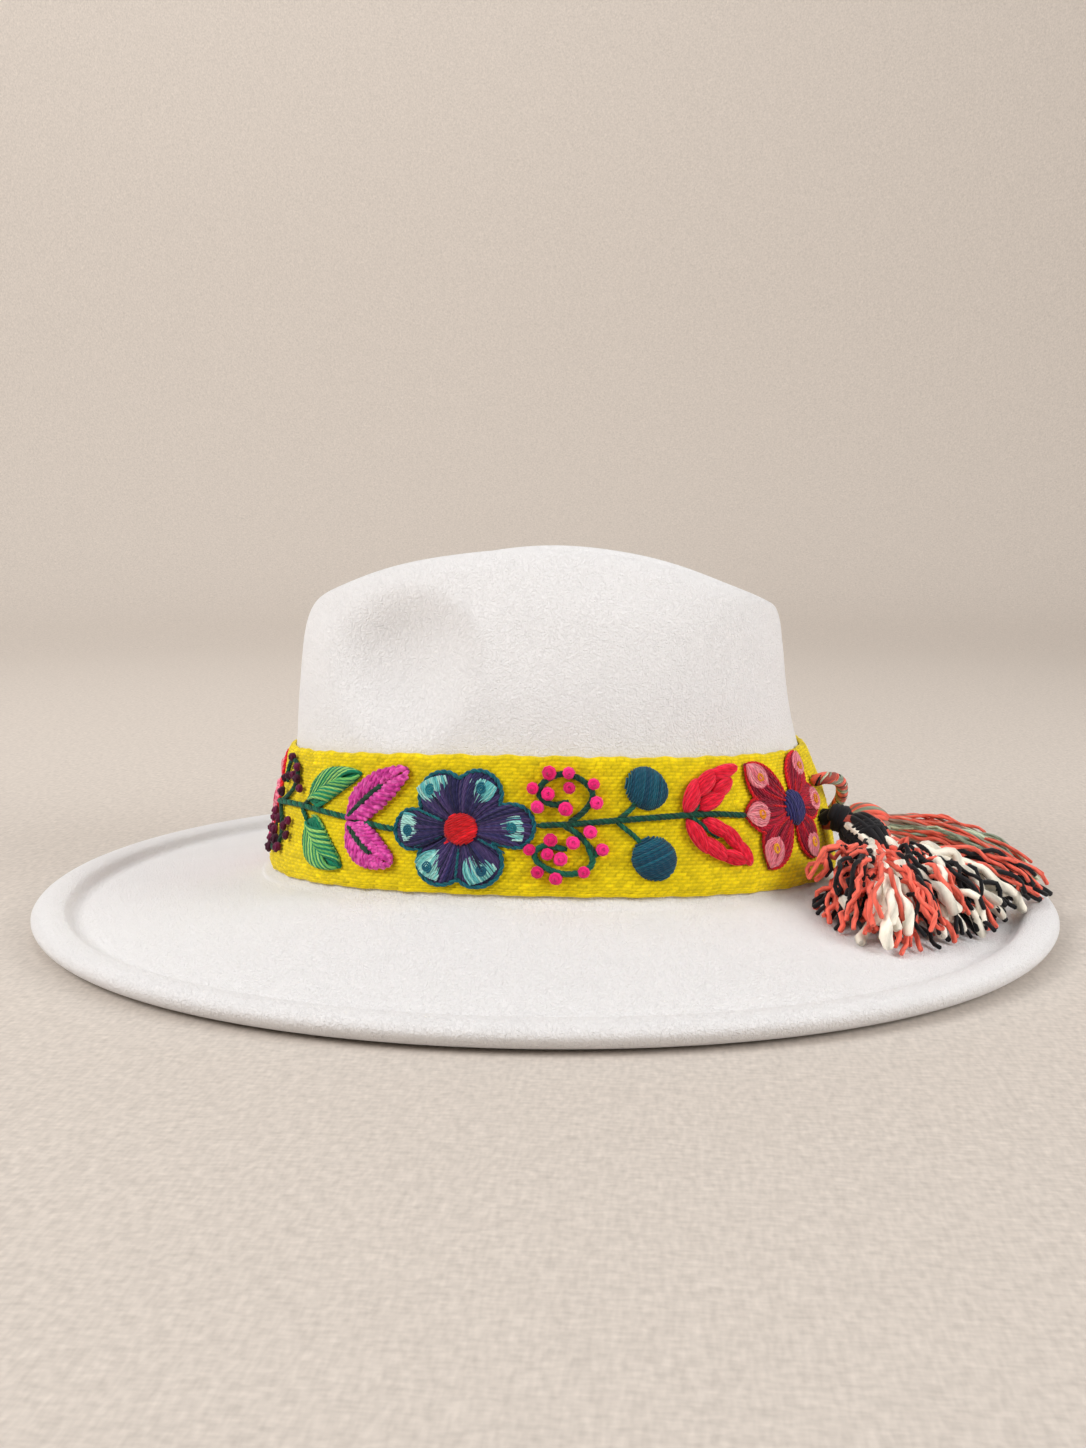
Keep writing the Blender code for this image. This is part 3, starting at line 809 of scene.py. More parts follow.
def sew_round_flower(work, center, petal="indigo", edge="teal", patch="aqua", eye="eye", heart="red"):
    """Six padded petals with an edging cord, a light patch with an eye on each, and a round heart."""
    center = np.array(center)
    rng = work.rng
    count = 150
    angle = 2 * math.pi * (np.arange(count) + rng.uniform(-0.25, 0.25, count)) / count
    a = np.linspace(0, 1, 8)
    reach = petal_reach(angle)[:, None]
    distance = 3.6 + (reach - 4.3) * a[None]
    bend = angle[:, None] + 0.05 * np.sin(math.pi * a[None])
    fold = np.clip((reach - 15.5) / 5.0, 0, 1)
    height = STITCH_BASE + (0.5 + 1.5 * fold) * np.sin(math.pi * a[None]) ** 0.6
    height = height + rng.normal(0, 0.08, (count, 1))
    flat = np.stack([center[0] + distance * np.cos(bend), center[1] + distance * np.sin(bend), height], -1)
    radii = (0.32 + 0.30 * a)[None] * rng.uniform(0.9, 1.1, (count, 1))
    work.sew(flat, radii, pick(rng, petal, count, 0.14), 5)
    for lean in PETAL_SEAMS:
        turn = math.radians(lean)
        ends = [center + np.array((math.cos(turn), math.sin(turn))) * r for r in (6.5, 11.0, 16.2)]
        work.rope(ends, 1.0, edge, 1.2, 2, 3.0)
    turn = np.linspace(0, 2 * math.pi, 64, endpoint=False)
    line = np.stack([np.cos(turn), np.sin(turn)], -1) * (petal_reach(turn) - 0.3)[:, None] + center
    line = np.concatenate([line, line[:2]])
    work.rope(line, 1.55, edge, 0.1, 2, 4.5)
    for row in PATCH_TABLE:
        tip, left, right, spot = (center + np.array(row[k:k + 2]) for k in (0, 2, 4, 6))
        work.lay(corner_grid(tip, left, right), 15, 8, 0.42, 0.7, patch, 1.25)
        work.coil(spot, 1.9, 2.4, 0.42, eye, 2.1)
    work.dome(center, FLOWER_HEART, FLOWER_HEART - 0.4, 35, 2.8, 15, 0.55, heart, 0.7)
    tail = [center + np.array(p) for p in ((-3.4, -3.6), (-4.6, -5.0), (-4.9, -6.2))]
    work.rope(tail, 1.6, heart, 0.5)


# The star flower's petals from its centre: tip, width, and bend.
STAR_PETALS = (
    (-17.6, 16.8, 14.0, 1.6),
    (13.2, 19.6, 12.0, -1.0),
    (-23.0, -0.4, 12.5, 0.6),
    (-16.2, -17.8, 13.0, -1.6),
    (8.6, -16.8, 12.0, 1.0),
    (19.4, 1.6, 12.0, 0.0),
)


def sew_star_flower(work, center):
    """Pointed maroon petals edged in red, each with a pink end and an amber ring, and a navy heart."""
    center = np.array(center)
    for x, y, width, bend in STAR_PETALS:
        tip = center + np.array((x, y))
        base = center + np.array((x, y)) * 0.12
        petal = leaf_grid(base, tip, width, bend, 1.15, 0.75)
        work.lay(petal, 17, 9, 0.46, 1.3, "maroon")
        for b in (0.0, 1.0):
            at = np.linspace(0.08, 0.99, 9)
            work.rope(petal(at, np.full_like(at, b)), 1.2, "red", 0.25, 2, 3.2)
        streak = np.linspace(0.05, 0.42, 5)
        for b in (0.30, 0.66):
            work.rope(petal(streak, np.full_like(streak, b)), 0.8, "red", 1.25, 2, 3.0)
        end = leaf_grid(petal(np.array(0.50), np.array(0.46)), petal(np.array(0.98), np.array(0.5)),
                        width * 0.66, bend * 0.4, 0.95, 0.7)
        work.lay(end, 11, 7, 0.44, 0.6, "blossom", 1.1)
        work.coil(end(np.array(0.42), np.array(0.5)), 1.5, 1.6, 0.38, "amber", 2.0, 0.55)
    work.dome(center, 5.2, 5.6, 100, 1.9, 13, 0.5, "navy", 0.9)


# Leaves. A row gives base, tip, width and bend.
GREEN_LEAVES = ((-81.5, 27.0, -57.0, 38.4, 11.5, 2.0), (-81.0, 19.8, -60.8, 6.6, 12.5, -2.2))
PINK_LEAVES = ((-59.5, 22.6, -38.0, 40.0, 12.0, 1.4), (-59.0, 20.6, -41.0, 9.0, 11.5, -1.6))


def sew_green_leaf(work, base_s, base_t, tip_s, tip_t, width, bend):
    """Swept threads in alternating greens, from the midrib out towards the tip."""
    leaf = leaf_grid((base_s, base_t), (tip_s, tip_t), width, bend, 0.62, 0.62)
    work.lay(leaf, 12, 9, 0.62, 0.5, "emerald")
    rng = work.rng
    for side in (0.0, 1.0):
        count = 13
        start = np.linspace(0.02, 0.62, count)
        a = np.linspace(0, 1, 8)
        along = start[:, None] + (0.36 + 0.02 * side) * a[None] ** 0.8
        along = np.minimum(along, 0.995)
        across = 0.5 + (side - 0.5) * 0.98 * a[None] ** 1.15 * np.ones((count, 1))
        places = leaf(along, across)
        height = STITCH_BASE + 0.7 + 1.15 * np.sin(math.pi * (0.15 + 0.85 * a)) ** 0.6
        flat = np.concatenate([places, np.broadcast_to(height, places.shape[:2])[..., None]], -1)
        light = (np.arange(count) + int(side)) % 2 == 0
        colors = np.where(light[:, None], pick(rng, "lime", count), pick(rng, "emerald", count))
        work.sew(flat, 0.56 * rng.uniform(0.85, 1.15, (count, 1)) * np.ones((1, 8)), colors, 5)
    edge = np.linspace(0.02, 0.99, 12)
    for b, palette in ((0.02, "emerald"), (0.98, "lime")):
        work.rope(leaf(edge, np.full_like(edge, b)), 1.0, palette, 0.2, 2, 3.0)


def sew_pink_leaf(work, base_s, base_t, tip_s, tip_t, width, bend):
    """Fat looped stitches on each side of a dark vein, with a lumpy surface."""
    leaf = leaf_grid((base_s, base_t), (tip_s, tip_t), width, bend, 0.82, 0.55)
    rng = work.rng
    for side in (0.0, 1.0):
        count = 11
        start = np.linspace(-0.02, 0.80, count)
        steps = 12
        a = np.linspace(0, 1, steps)
        along = np.clip(start[:, None] + 0.24 * a[None], 0.0, 0.995)
        across = 0.5 + (side - 0.5) * (0.06 + 0.92 * a[None]) * np.ones((count, 1))
        places = leaf(along, across) + rng.normal(0, 0.12, (count, steps, 2))
        height = STITCH_BASE + 0.7 + 1.1 * np.sin(math.pi * (0.12 + 0.8 * a))
        height = height + rng.normal(0, 0.12, (count, steps))
        flat = np.concatenate([places, height[..., None]], -1)
        radii = 1.0 * rng.uniform(0.78, 1.22, (count, steps))
        tones = pick(rng, "orchid", count * steps, 0.1).reshape(count, steps, 3)
        work.sew(flat, radii, tones, 6)
    vein = np.linspace(0.0, 0.66, 8)
    work.rope(leaf(vein, np.full_like(vein, 0.5)), 2.3, "moss", 1.2)


# Red leaves are made of padded lobes: centre, half length, half width and lean in degrees.
RED_LOBES = (
    (57.8, 32.2, 6.2, 2.9, 62.0),
    (63.6, 36.6, 6.2, 3.1, 42.0),
    (71.5, 40.0, 6.6, 2.6, 14.0),
    (69.8, 35.0, 5.0, 2.9, 34.0),
    (64.6, 30.4, 5.8, 2.8, 26.0),
    (57.8, 19.2, 6.0, 2.9, -62.0),
    (63.0, 15.0, 5.8, 3.0, -38.0),
    (69.8, 11.9, 5.0, 2.5, -14.0),
    (73.4, 13.2, 4.6, 2.4, -58.0),
    (69.6, 18.2, 5.2, 2.8, -50.0),
    (65.0, 21.6, 5.2, 2.6, -30.0),
)

BERRIES = ((-99.5, 34.4), (-98.5, 42.0), (-92.5, 38.6), (-88.5, 30.6), (-106.0, 27.2), (-95.0, 35.2),
           (-91.5, 34.0), (-104.5, 33.0), (-108.0, 13.0), (-116.5, 16.2), (-118.0, 12.2), (-94.0, 18.2),
           (-93.4, 13.2), (-110.5, 7.0), (-99.5, 8.4), (-105.0, 17.6), (-97.0, 16.0), (-104.0, 10.4),
           (-112.6, 9.6), (-113.0, 19.0))
BERRY_STEMS = (
    ((-109.0, 23.1), (-101.0, 26.0), (-94.5, 30.5), (-92.6, 36.0), (-95.6, 40.6), (-101.0, 40.4),
     (-104.0, 36.0), (-102.4, 31.6)),
    ((-109.0, 23.1), (-103.4, 18.6), (-99.6, 13.4), (-102.0, 8.4), (-108.0, 7.4), (-112.0, 11.0),
     (-109.6, 15.4)),
)
PINK_DOTS = ((10.5, 40.1), (17.0, 40.1), (5.0, 35.1), (10.0, 33.4), (17.0, 35.4), (25.0, 36.6),
             (25.5, 30.6), (6.5, 29.1), (15.5, 28.6), (10.5, 18.6), (17.5, 17.8), (23.0, 21.3),
             (26.5, 15.6), (4.0, 15.3), (9.5, 14.0), (13.5, 12.5), (6.5, 8.0), (12.0, 6.0), (20.5, 8.3))
SPIRAL_STEMS = (
    ((16.0, 23.8), (21.5, 28.0), (24.5, 32.9), (22.5, 36.9), (18.0, 39.4), (13.5, 39.6), (8.5, 36.9),
     (7.0, 33.4), (9.0, 30.9), (12.5, 29.9), (16.5, 31.0)),
    ((14.0, 23.7), (19.0, 20.6), (22.0, 17.1), (24.8, 13.3)),
    ((21.8, 16.6), (23.4, 12.4), (21.5, 9.0), (16.5, 7.6), (11.5, 8.4), (7.0, 10.8), (5.5, 14.2),
     (8.0, 16.4), (11.5, 16.3), (15.5, 15.6)),
)
# The vine and its side stems: route and width.
VINES = (
    (((-115.0, 22.6), (-109.0, 23.1), (-97.0, 24.3), (-84.5, 24.6), (-72.0, 23.8), (-59.5, 22.6),
      (-48.0, 20.9), (-41.0, 20.1)), 2.0),
    (((6.5, 23.1), (18.5, 23.8), (34.5, 25.1), (54.5, 26.1), (66.0, 25.9), (76.5, 24.8)), 2.0),
    (((-88.0, 24.1), (-84.0, 25.4), (-81.0, 28.0)), 1.7),
    (((-86.0, 23.6), (-83.0, 21.4), (-81.0, 19.4)), 1.7),
    (((31.5, 24.6), (36.0, 28.0), (39.5, 31.6)), 1.7),
    (((31.5, 24.4), (36.0, 20.6), (39.8, 16.6)), 1.7),
    (((56.0, 26.2), (60.5, 29.8), (64.5, 33.4)), 1.8),
    (((56.0, 25.6), (60.5, 22.0), (65.0, 18.6)), 1.8),
)
# Satin balls: place, and the lean of their threads in degrees.
BALLS = ((42.6, 35.2, 75.0), (42.8, 12.6, 25.0))
BALL_RADIUS = 7.0
PINK_DOT_RADIUS = 2.15
BERRY_RADIUS = 1.75
SPIRAL_WIDTH = 2.0
BERRY_STEM_WIDTH = 1.7


def build_embroidery(material, far_side):
    """The whole pattern on one side of the hat, as one piece for each group of motifs."""
    side = "right" if far_side else "left"
    seed = 100 if far_side else 0

    def work(number):
        return Stitches(far_side, seed + number)

    flower = work(1)
    sew_round_flower(flower, BLUE_CENTER)
    flower.piece(f"embroidery_blue_flower_{side}", material)
    star = work(2)
    sew_star_flower(star, RED_CENTER)
    star.piece(f"embroidery_red_flower_{side}", material)
    leaves = work(3)
    for row in GREEN_LEAVES:
        sew_green_leaf(leaves, *row)
    leaves.piece(f"embroidery_green_leaves_{side}", material)
    pink = work(4)
    for row in PINK_LEAVES:
        sew_pink_leaf(pink, *row)
    pink.piece(f"embroidery_pink_leaves_{side}", material)
    lobes = work(5)
    for s, t, half_length, half_width, lean in RED_LOBES:
        turn = math.radians(lean)
        out = np.array((math.cos(turn), math.sin(turn))) * half_length
        grid = leaf_grid(np.array((s, t)) - out, np.array((s, t)) + out, 1.75 * half_width, 0.0, 0.9, 0.6)
        lobes.lay(grid, 9, 9, 0.58, 2.4, "scarlet", 0.0)
    lobes.piece(f"embroidery_red_leaves_{side}", material)
    stems = work(6)
    for route, width in VINES:
        stems.rope(route, width, "green", 0.1)
    for route in SPIRAL_STEMS:
        stems.rope(route, SPIRAL_WIDTH, "green", 0.3)
    for route in BERRY_STEMS:
        stems.rope(route, BERRY_STEM_WIDTH, "green", 0.3)
    stems.piece(f"embroidery_stems_{side}", material)
    dots = work(7)
    dots.knots(PINK_DOTS, PINK_DOT_RADIUS, "knot", 0.7)
    dots.knots(BERRIES, BERRY_RADIUS, "berry", 0.7)
    for s, t, lean in BALLS:
        dots.dome((s, t), BALL_RADIUS, BALL_RADIUS, lean, 3.2, 22, 0.42, "ball", 0.1)
    dots.piece(f"embroidery_dots_{side}", material)


def build_front_flower(material):
    """The pink flower at the hat's front, where both sides of the pattern meet."""
    work = Stitches(False, 50)
    sew_round_flower(work, (FRONT_S, 21.6), "rose", "scarlet", "blossom", "knot", "knot")
    work.piece("embroidery_pink_flower_front", material)


# The cord's route, as the CAD part has it, its size, and that of the yarns plied into it.
CORD_ROUTE = (
    (24.5, 99.0, 51.2),
    (25.1, 103.4, 52.4),
    (20.0, 107.8, 51.0),
    (11.0, 110.4, 47.2),
    (0.0, 111.6, 41.4),
    (-9.5, 110.8, 36.0),
    (-17.5, 109.9, 31.8),
    (-23.8, 112.0, 28.9),
    (-26.0, 116.2, 27.6),
)
CORD_POINTS = 40
STRAND_RADIUS = 1.25
STRAND_OFFSET = 1.05
RIDGE_RADIUS = 0.42
RIDGE_OFFSET = 1.80
RIDGE_START = 0.4
CORD_STEPS = 110
CORD_PITCH = 15.0

# A direction that no route or head points along, to measure sideways from.
NEARLY_UP = (0.03, 0.02, 1.0)

CORAL = rgb(248, 112, 92)
SAGE = rgb(146, 158, 138)
MINT = rgb(206, 218, 188)
TAUPE = rgb(160, 132, 118)
DARK = rgb(44, 34, 38)
BLACK = rgb(22, 22, 26)
CREAM = rgb(244, 238, 222)


def frames_along(paths, axis):
    """Directions aside and up at each point of routes whose steps lie along that axis."""
    ahead = unit(np.gradient(paths, axis=axis))
    aside = unit(np.cross(ahead, NEARLY_UP))
    return aside, np.cross(aside, ahead)


def wind(line, count, offset, pitch, start=0.0):
    """Paths of count strands that wind round a route."""
    aside, up = frames_along(line, 0)
    turn = 2 * math.pi * (lengths_along(line) / pitch)[None] + start
    turn = turn + 2 * math.pi * np.arange(count)[:, None] / count
    return line + offset * (aside * np.cos(turn)[..., None] + up * np.sin(turn)[..., None])


def build_cord(material):
    """Three twisted yarns plied into one cord that runs from the band to the coral tassel."""
    line = smooth_line(CORD_ROUTE, CORD_STEPS)
    threads = Threads()
    colors = np.stack([CORAL, SAGE, DARK * 0.5 + CORAL * 0.4])
    threads.add(wind(line, 3, STRAND_OFFSET, CORD_PITCH), STRAND_RADIUS, colors, 10)
    ridges = wind(line, 6, RIDGE_OFFSET, CORD_PITCH * 0.5, RIDGE_START)
    tones = np.stack([CORAL, CORAL * 0.8, SAGE, MINT, DARK, CORAL])
    threads.add(ridges, RIDGE_RADIUS, tones, 5)
    cord = threads.piece("braid_coral", material)
    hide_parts("cord_coral")
    path = smooth_line(CORD_ROUTE, CORD_POINTS) * MM
    return cord


# Tassel heads: a bound bulb round an axis, with its middle and the axis.
HEAD_RADIUS = 8.0
HEAD_HALF_LENGTH = 9.5
BLACK_HEAD = ((31.5, 117.0, 32.0), (0.75, 0.45, -0.48))
CORAL_HEAD = ((-30.4, 124.7, 25.0), (-0.45, 0.86, -0.26))
WAIST = 0.5
NECK_ROUTE = ((25.0, 102.75, 37.35), (26.4, 107.0, 38.2), (28.8, 112.2, 36.6), (31.5, 117.0, 32.0))

# Where the strands end on the brim, from one side of each fan to the other.
BLACK_FAN = ((61.0, 94.0), (76.0, 101.0), (90.0, 117.0), (80.0, 134.0), (66.0, 145.0), (52.0, 157.0),
             (34.0, 172.0), (15.0, 187.0))
CORAL_FAN = ((-44.0, 172.0), (-40.0, 180.0), (-31.0, 186.0), (-19.0, 189.5), (-6.0, 188.0))


def brim_top(x, y):
    """Height of the brim's top side, with its thicker hem."""
    reach = np.hypot(x / BRIM_HALF_WIDTH, y / BRIM_HALF_LENGTH)
    foot = 1 - 14.5 / BRIM_HALF_WIDTH
    rearward = y**2 / np.maximum(x**2 + y**2, 0.01)
    inner_reach = 0.55 + 0.067 * rearward
    inner_z = 18.0 - 4.9 * rearward
    slope = 3.4 + (inner_z - 3.4) * (foot - reach) / (foot - inner_reach)
    hem = np.maximum(8.3 - 9.0 * np.maximum(reach - 0.97, 0) / 0.03, 5.5)
    rounded = 3.4 + 4.9 * np.clip((reach - foot) / 0.035, 0, 1) ** 0.5
    return np.where(reach > foot, np.minimum(hem, rounded), slope)


def strands(rng, starts, leads, lifts, tips, steps, wave, waves, radii):
    """Wavy paths from starts, going off along leads and over lifts, down to the tips on the brim."""
    at = np.linspace(0, 1, steps)[None, :, None]
    count = len(tips)
    span = np.linalg.norm(tips - starts, axis=1)[:, None]
    first = starts + leads * span * 0.33
    second = tips + (starts - tips) * 0.30
    second[:, 2] += lifts
    paths = ((1 - at) ** 3 * starts[:, None] + 3 * at * (1 - at) ** 2 * first[:, None]
             + 3 * at**2 * (1 - at) * second[:, None] + at**3 * tips[:, None])
    grow = np.clip(at[..., 0] * 3.0, 0, 1)
    for side in frames_along(paths, 1):
        bends = np.stack([wobble(rng, steps, waves) for _ in range(count)]) * wave
        paths = paths + side * (bends * grow)[..., None]
    floor = brim_top(paths[..., 0], paths[..., 1]) + np.broadcast_to(radii, (count, 1)) * 0.9
    low = np.maximum(floor - paths[..., 2], 0)
    paths[..., 2] += low
    return paths


# Yarns of the tassels, in the order they are laid: how many, radius, colour, how far short of the
# fan's rim they may end, how deep they are heaped, height and number of their waves, and lift.
YARN_COLUMNS = ("count", "radius", "color", "short", "heap", "wave", "waves", "lift")
CORAL_YARNS = (
    (72, 0.72, CORAL, 0.45, 7.0, 0.9, 3, 9.0),
    (44, 0.62, SAGE, 0.45, 7.0, 0.9, 3, 9.0),
    (36, 0.64, MINT, 0.45, 7.0, 0.9, 3, 9.0),
    (22, 0.60, TAUPE, 0.45, 7.0, 0.9, 3, 9.0),
    (16, 0.55, CORAL * 0.7, 0.45, 7.0, 0.9, 3, 9.0),
)
BLACK_YARNS = (
    (150, 0.85, CORAL, 0.60, 11.0, 1.5, 5, 8.0),
    (96, 0.85, BLACK, 0.55, 11.0, 1.5, 5, 9.0),
    (46, 1.45, CREAM, 0.55, 10.0, 1.6, 4, 8.0),
    (12, 1.15, BLACK, 0.20, 8.0, 1.2, 2, 13.0),
)
YARN_STEPS = 22
WAVY_YARN_STEPS = 24
OVERHANG_FAN = 4

# A cream yarn's end swells to a soft blob over its last steps.
BLOB = (1.05, 1.22, 1.3, 1.02)
BLOB_SIDES = 8

# Spread of the yarns' ends, and how far from the head's axis they start.
END_SPREAD = 1.2
BLACK_MOUTH = 5.5
CORAL_MOUTH = 5.0


def head_frame(head):
    """Middle, axis, and the directions aside and up of a tassel's head."""
    center, axis = np.array(head[0]), unit(np.array(head[1]))
    aside = unit(np.cross(axis, (0.0, 0.0, 1.0)))
    return center, axis, aside, np.cross(aside, axis)


def fan_tips(rng, fan, count, short, heap):
    """Ends spread over a fan: some of them short of its rim, and heaped a few millimetres deep."""
    fan = np.array(fan)
    at = np.sort(rng.uniform(0, len(fan) - 1, count))
    rim = np.stack([np.interp(at, np.arange(len(fan)), fan[:, axis]) for axis in (0, 1)], -1)
    rng.shuffle(rim)
    share = 1 - short * rng.uniform(0, 1, count) ** 1.5
    return rim, share, rng.normal(0, END_SPREAD, (count, 2)), heap * rng.uniform(0, 1, count) ** 1.4


def tassel_strands(threads, rng, head, fan, mouth, row, steps, blob=False):
    """One kind of yarn in a tassel, from inside the head's mouth to its ends on the brim."""
    yarn = dict(zip(YARN_COLUMNS, row))
    count, radius = yarn["count"], yarn["radius"]
    center, axis, aside, up = head_frame(head)
    rim, share, jitter, high = fan_tips(rng, fan, count, yarn["short"], yarn["heap"])
    foot = center + axis * HEAD_HALF_LENGTH
    flat = foot[:2] + (rim - foot[:2]) * share[:, None] + jitter
    reach = np.hypot(flat[:, 0] / (BRIM_HALF_WIDTH - 0.5), flat[:, 1] / (BRIM_HALF_LENGTH + 1.5))
    flat = flat / np.maximum(reach, 1.0)[:, None]
    tips = np.concatenate([flat, (brim_top(flat[:, 0], flat[:, 1]) + radius + high)[:, None]], 1)
    bearing = np.arctan2(((tips - foot) * aside).sum(1), np.linalg.norm(tips - foot, axis=1))
    turn = rng.uniform(0, 2 * math.pi, count)
    off = mouth * np.sqrt(rng.uniform(0, 1, count))
    side = np.clip(off * np.cos(turn) * 0.5 + bearing * mouth * 1.2, -mouth, mouth)
    starts = foot - axis * 4.0 + aside * side[:, None] + up * (off * np.sin(turn))[:, None]
    spread = rng.normal(0, 0.10, (count, 3))
    leads = unit(axis + aside * np.sin(bearing)[:, None] * 0.8 + (0, 0, 0.12) + spread)
    sizes = radius * rng.uniform(0.85, 1.15, count)
    lifts = rng.uniform(0.3, 1.0, count) * yarn["lift"] + high
    paths = strands(rng, starts, leads, lifts, tips, steps, yarn["wave"], yarn["waves"], sizes[:, None])
    profile = np.ones(steps)
    if blob:
        profile[-len(BLOB):] = BLOB
    tones = yarn["color"] * rng.normal(1.0, 0.09, (count, 1)).clip(0.7, 1.3)
    threads.add(paths, sizes[:, None] * profile[None], tones, BLOB_SIDES if blob else 6)


def wrap(threads, center, axis, radius, turns, thread, color, length):
    """Turns of thread bound tightly round an axis."""
    axis = unit(np.array(axis))
    aside = unit(np.cross(axis, (0.02, 0.0, 1.0)))
    up = np.cross(aside, axis)
    at = np.linspace(0, 1, int(turns * 20))
    turn = 2 * math.pi * turns * at
    line = np.array(center) + axis * (length * (at - 0.5))[:, None]
    line = line + radius * (aside * np.cos(turn)[:, None] + up * np.sin(turn)[:, None])
    threads.add(line[None], thread, color, 8)


def bulb(threads, rng, head, colors, count, thread):
    """Threads laid lengthwise over a round head and gathered at both ends, round a core."""
    center, axis, aside, up = head_frame(head)
    at = np.linspace(0, 1, 16)
    swell = HEAD_RADIUS * (WAIST + (1 - WAIST) * np.sin(math.pi * at) ** 0.7) - thread * 0.6
    swell[:3] *= (0.35, 0.7, 0.92)
    along = (at - 0.5) * 2 * HEAD_HALF_LENGTH
    turn = 2 * math.pi * (np.arange(count) + rng.uniform(-0.2, 0.2, count)) / count
    turn = turn[:, None] + 0.5 * at[None]
    out = aside * np.cos(turn)[..., None] + up * np.sin(turn)[..., None]
    paths = center + axis * along[None, :, None] + swell[None, :, None] * out
    tones = np.array(colors)[rng.integers(len(colors), size=count)] * rng.normal(1, 0.1, (count, 1))
    threads.add(paths, thread, tones, 8)
    # The core is painted at half the first colour, as shade between the threads laid over it.
    core = center + axis * along[:, None]
    threads.add(core[None], np.maximum(swell - thread * 0.8, 0.5)[None], np.array(colors[0]) * 0.5, 16)


def build_coral_tassel(material):
    rng = np.random.default_rng(71)
    threads = Threads()
    bulb(threads, rng, CORAL_HEAD, (CORAL, CORAL, SAGE, MINT, CORAL, TAUPE), 22, 1.15)
    center, axis, _, _ = head_frame(CORAL_HEAD)
    wrap(threads, center - axis * (HEAD_HALF_LENGTH - 1.5), axis, 2.6, 3, 0.9, CORAL, 3.6)
    wrap(threads, center + axis * (HEAD_HALF_LENGTH - 2.0), axis, 4.6, 4, 0.8, CORAL * 0.85, 3.6)
    for row in CORAL_YARNS:
        tassel_strands(threads, rng, CORAL_HEAD, CORAL_FAN, CORAL_MOUTH, row, YARN_STEPS)
    tassel = threads.piece("tassel_coral_fine", material)
    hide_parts("tassel_coral")
    return tassel


def build_black_tassel(material):
    rng = np.random.default_rng(83)
    threads = Threads()
    neck = smooth_line(NECK_ROUTE, 30)
    threads.add(wind(neck, 3, 1.9, 22.0), 2.2, np.stack([BLACK, BLACK * 1.3, CORAL * 0.5]), 10)
    knot_center = np.array(NECK_ROUTE[1]) + (0.4, 1.4, 0.0)
    wrap(threads, knot_center, (0.3, 1.0, -0.2), 3.4, 3, 1.7, BLACK, 5.0)
    bulb(threads, rng, BLACK_HEAD, (BLACK, BLACK, CORAL, CREAM, BLACK), 16, 1.5)
    center, axis, _, _ = head_frame(BLACK_HEAD)
    wrap(threads, center + axis * 1.0, axis, 7.4, 3, 1.1, BLACK, 5.0)
    coral, black, cream, overhang = BLACK_YARNS
    tassel_strands(threads, rng, BLACK_HEAD, BLACK_FAN, BLACK_MOUTH, coral, WAVY_YARN_STEPS)
    tassel_strands(threads, rng, BLACK_HEAD, BLACK_FAN, BLACK_MOUTH, black, WAVY_YARN_STEPS)
    tassel_strands(threads, rng, BLACK_HEAD, BLACK_FAN, BLACK_MOUTH, cream, YARN_STEPS, True)
    rear = BLACK_FAN[OVERHANG_FAN:]
    tassel_strands(threads, rng, BLACK_HEAD, rear, BLACK_MOUTH, overhang, WAVY_YARN_STEPS)
    tassel = threads.piece("tassel_black_fine", material)
    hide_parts("tassel_black")
    return tassel


# Floor and wall in one sweep: radius and height in metres.
SWEEP = ((0.0, -0.0005), (1.3, -0.0005), (1.7, 0.06), (1.95, 0.35), (2.05, 0.9), (2.1, 2.2))
SWEEP_COLUMNS = 96

LINEN = rgb(208, 199, 190)

# Threads of the linen: how fine its noise is along X, Y and Z, once for each way of the weave.
LINEN_SCALES = ((750.0, 260.0, 300.0), (260.0, 750.0, 300.0))


def build_stage():
    """A plain pale floor that turns up into a wall."""
    material, tree, shader = new_material("backdrop_linen", 0.9, 0.0, 0.5, 0.1)
    place = add_node(tree, "ShaderNodeTexCoord").outputs["Object"]
    threads = [noise(tree, add_node(tree, "ShaderNodeMapping", {"Vector": place, "Scale": scale}).outputs[0],
                     1.0, 1.0) for scale in LINEN_SCALES]
    level = math_node(tree, "MULTIPLY", math_node(tree, "ADD", *threads), 0.5)
    linen = add_node(tree, "ShaderNodeRGB").outputs[0]
    linen.default_value = (*LINEN, 1.0)
    tree.links.new(shaded(tree, linen, level, 0.70, 1.30), shader.inputs["Base Color"])
    line = np.concatenate([np.array(SWEEP[:1]), smooth_line(SWEEP[1:], 24)]) / MM
    turn = 2 * math.pi * np.arange(SWEEP_COLUMNS) / SWEEP_COLUMNS
    rings = [np.stack([r * np.cos(turn), r * np.sin(turn), np.full_like(turn, z)], -1) for r, z in line[1:]]
    points = np.concatenate(rings)
    quads = grid_faces(len(rings), SWEEP_COLUMNS, close_columns=True)[:, ::-1]
    mesh = bpy.data.meshes.new("backdrop")
    faces = quads.tolist() + [list(range(SWEEP_COLUMNS))]
    mesh.from_pydata([tuple(p * MM) for p in points], [], faces)
    mesh.shade_smooth()
    mesh.materials.append(material)
    backdrop = bpy.data.objects.new("backdrop", mesh)
    bpy.context.scene.collection.objects.link(backdrop)


# Lights: name, azimuth and elevation in degrees seen from the hat, distance, size, power and colour.
LIGHTS = (
    ("key", -62.0, 36.0, 1.25, 0.7, 9.4, (1.0, 1.0, 1.0)),
    ("fill", 64.0, 24.0, 1.3, 0.7, 9.0, (0.98, 0.99, 1.0)),
    ("top", 0.0, 80.0, 1.5, 1.2, 1.5, (1.0, 1.0, 1.0)),
)
WORLD_COLOR = (1.0, 1.0, 1.0)
WORLD_STRENGTH = 0.48

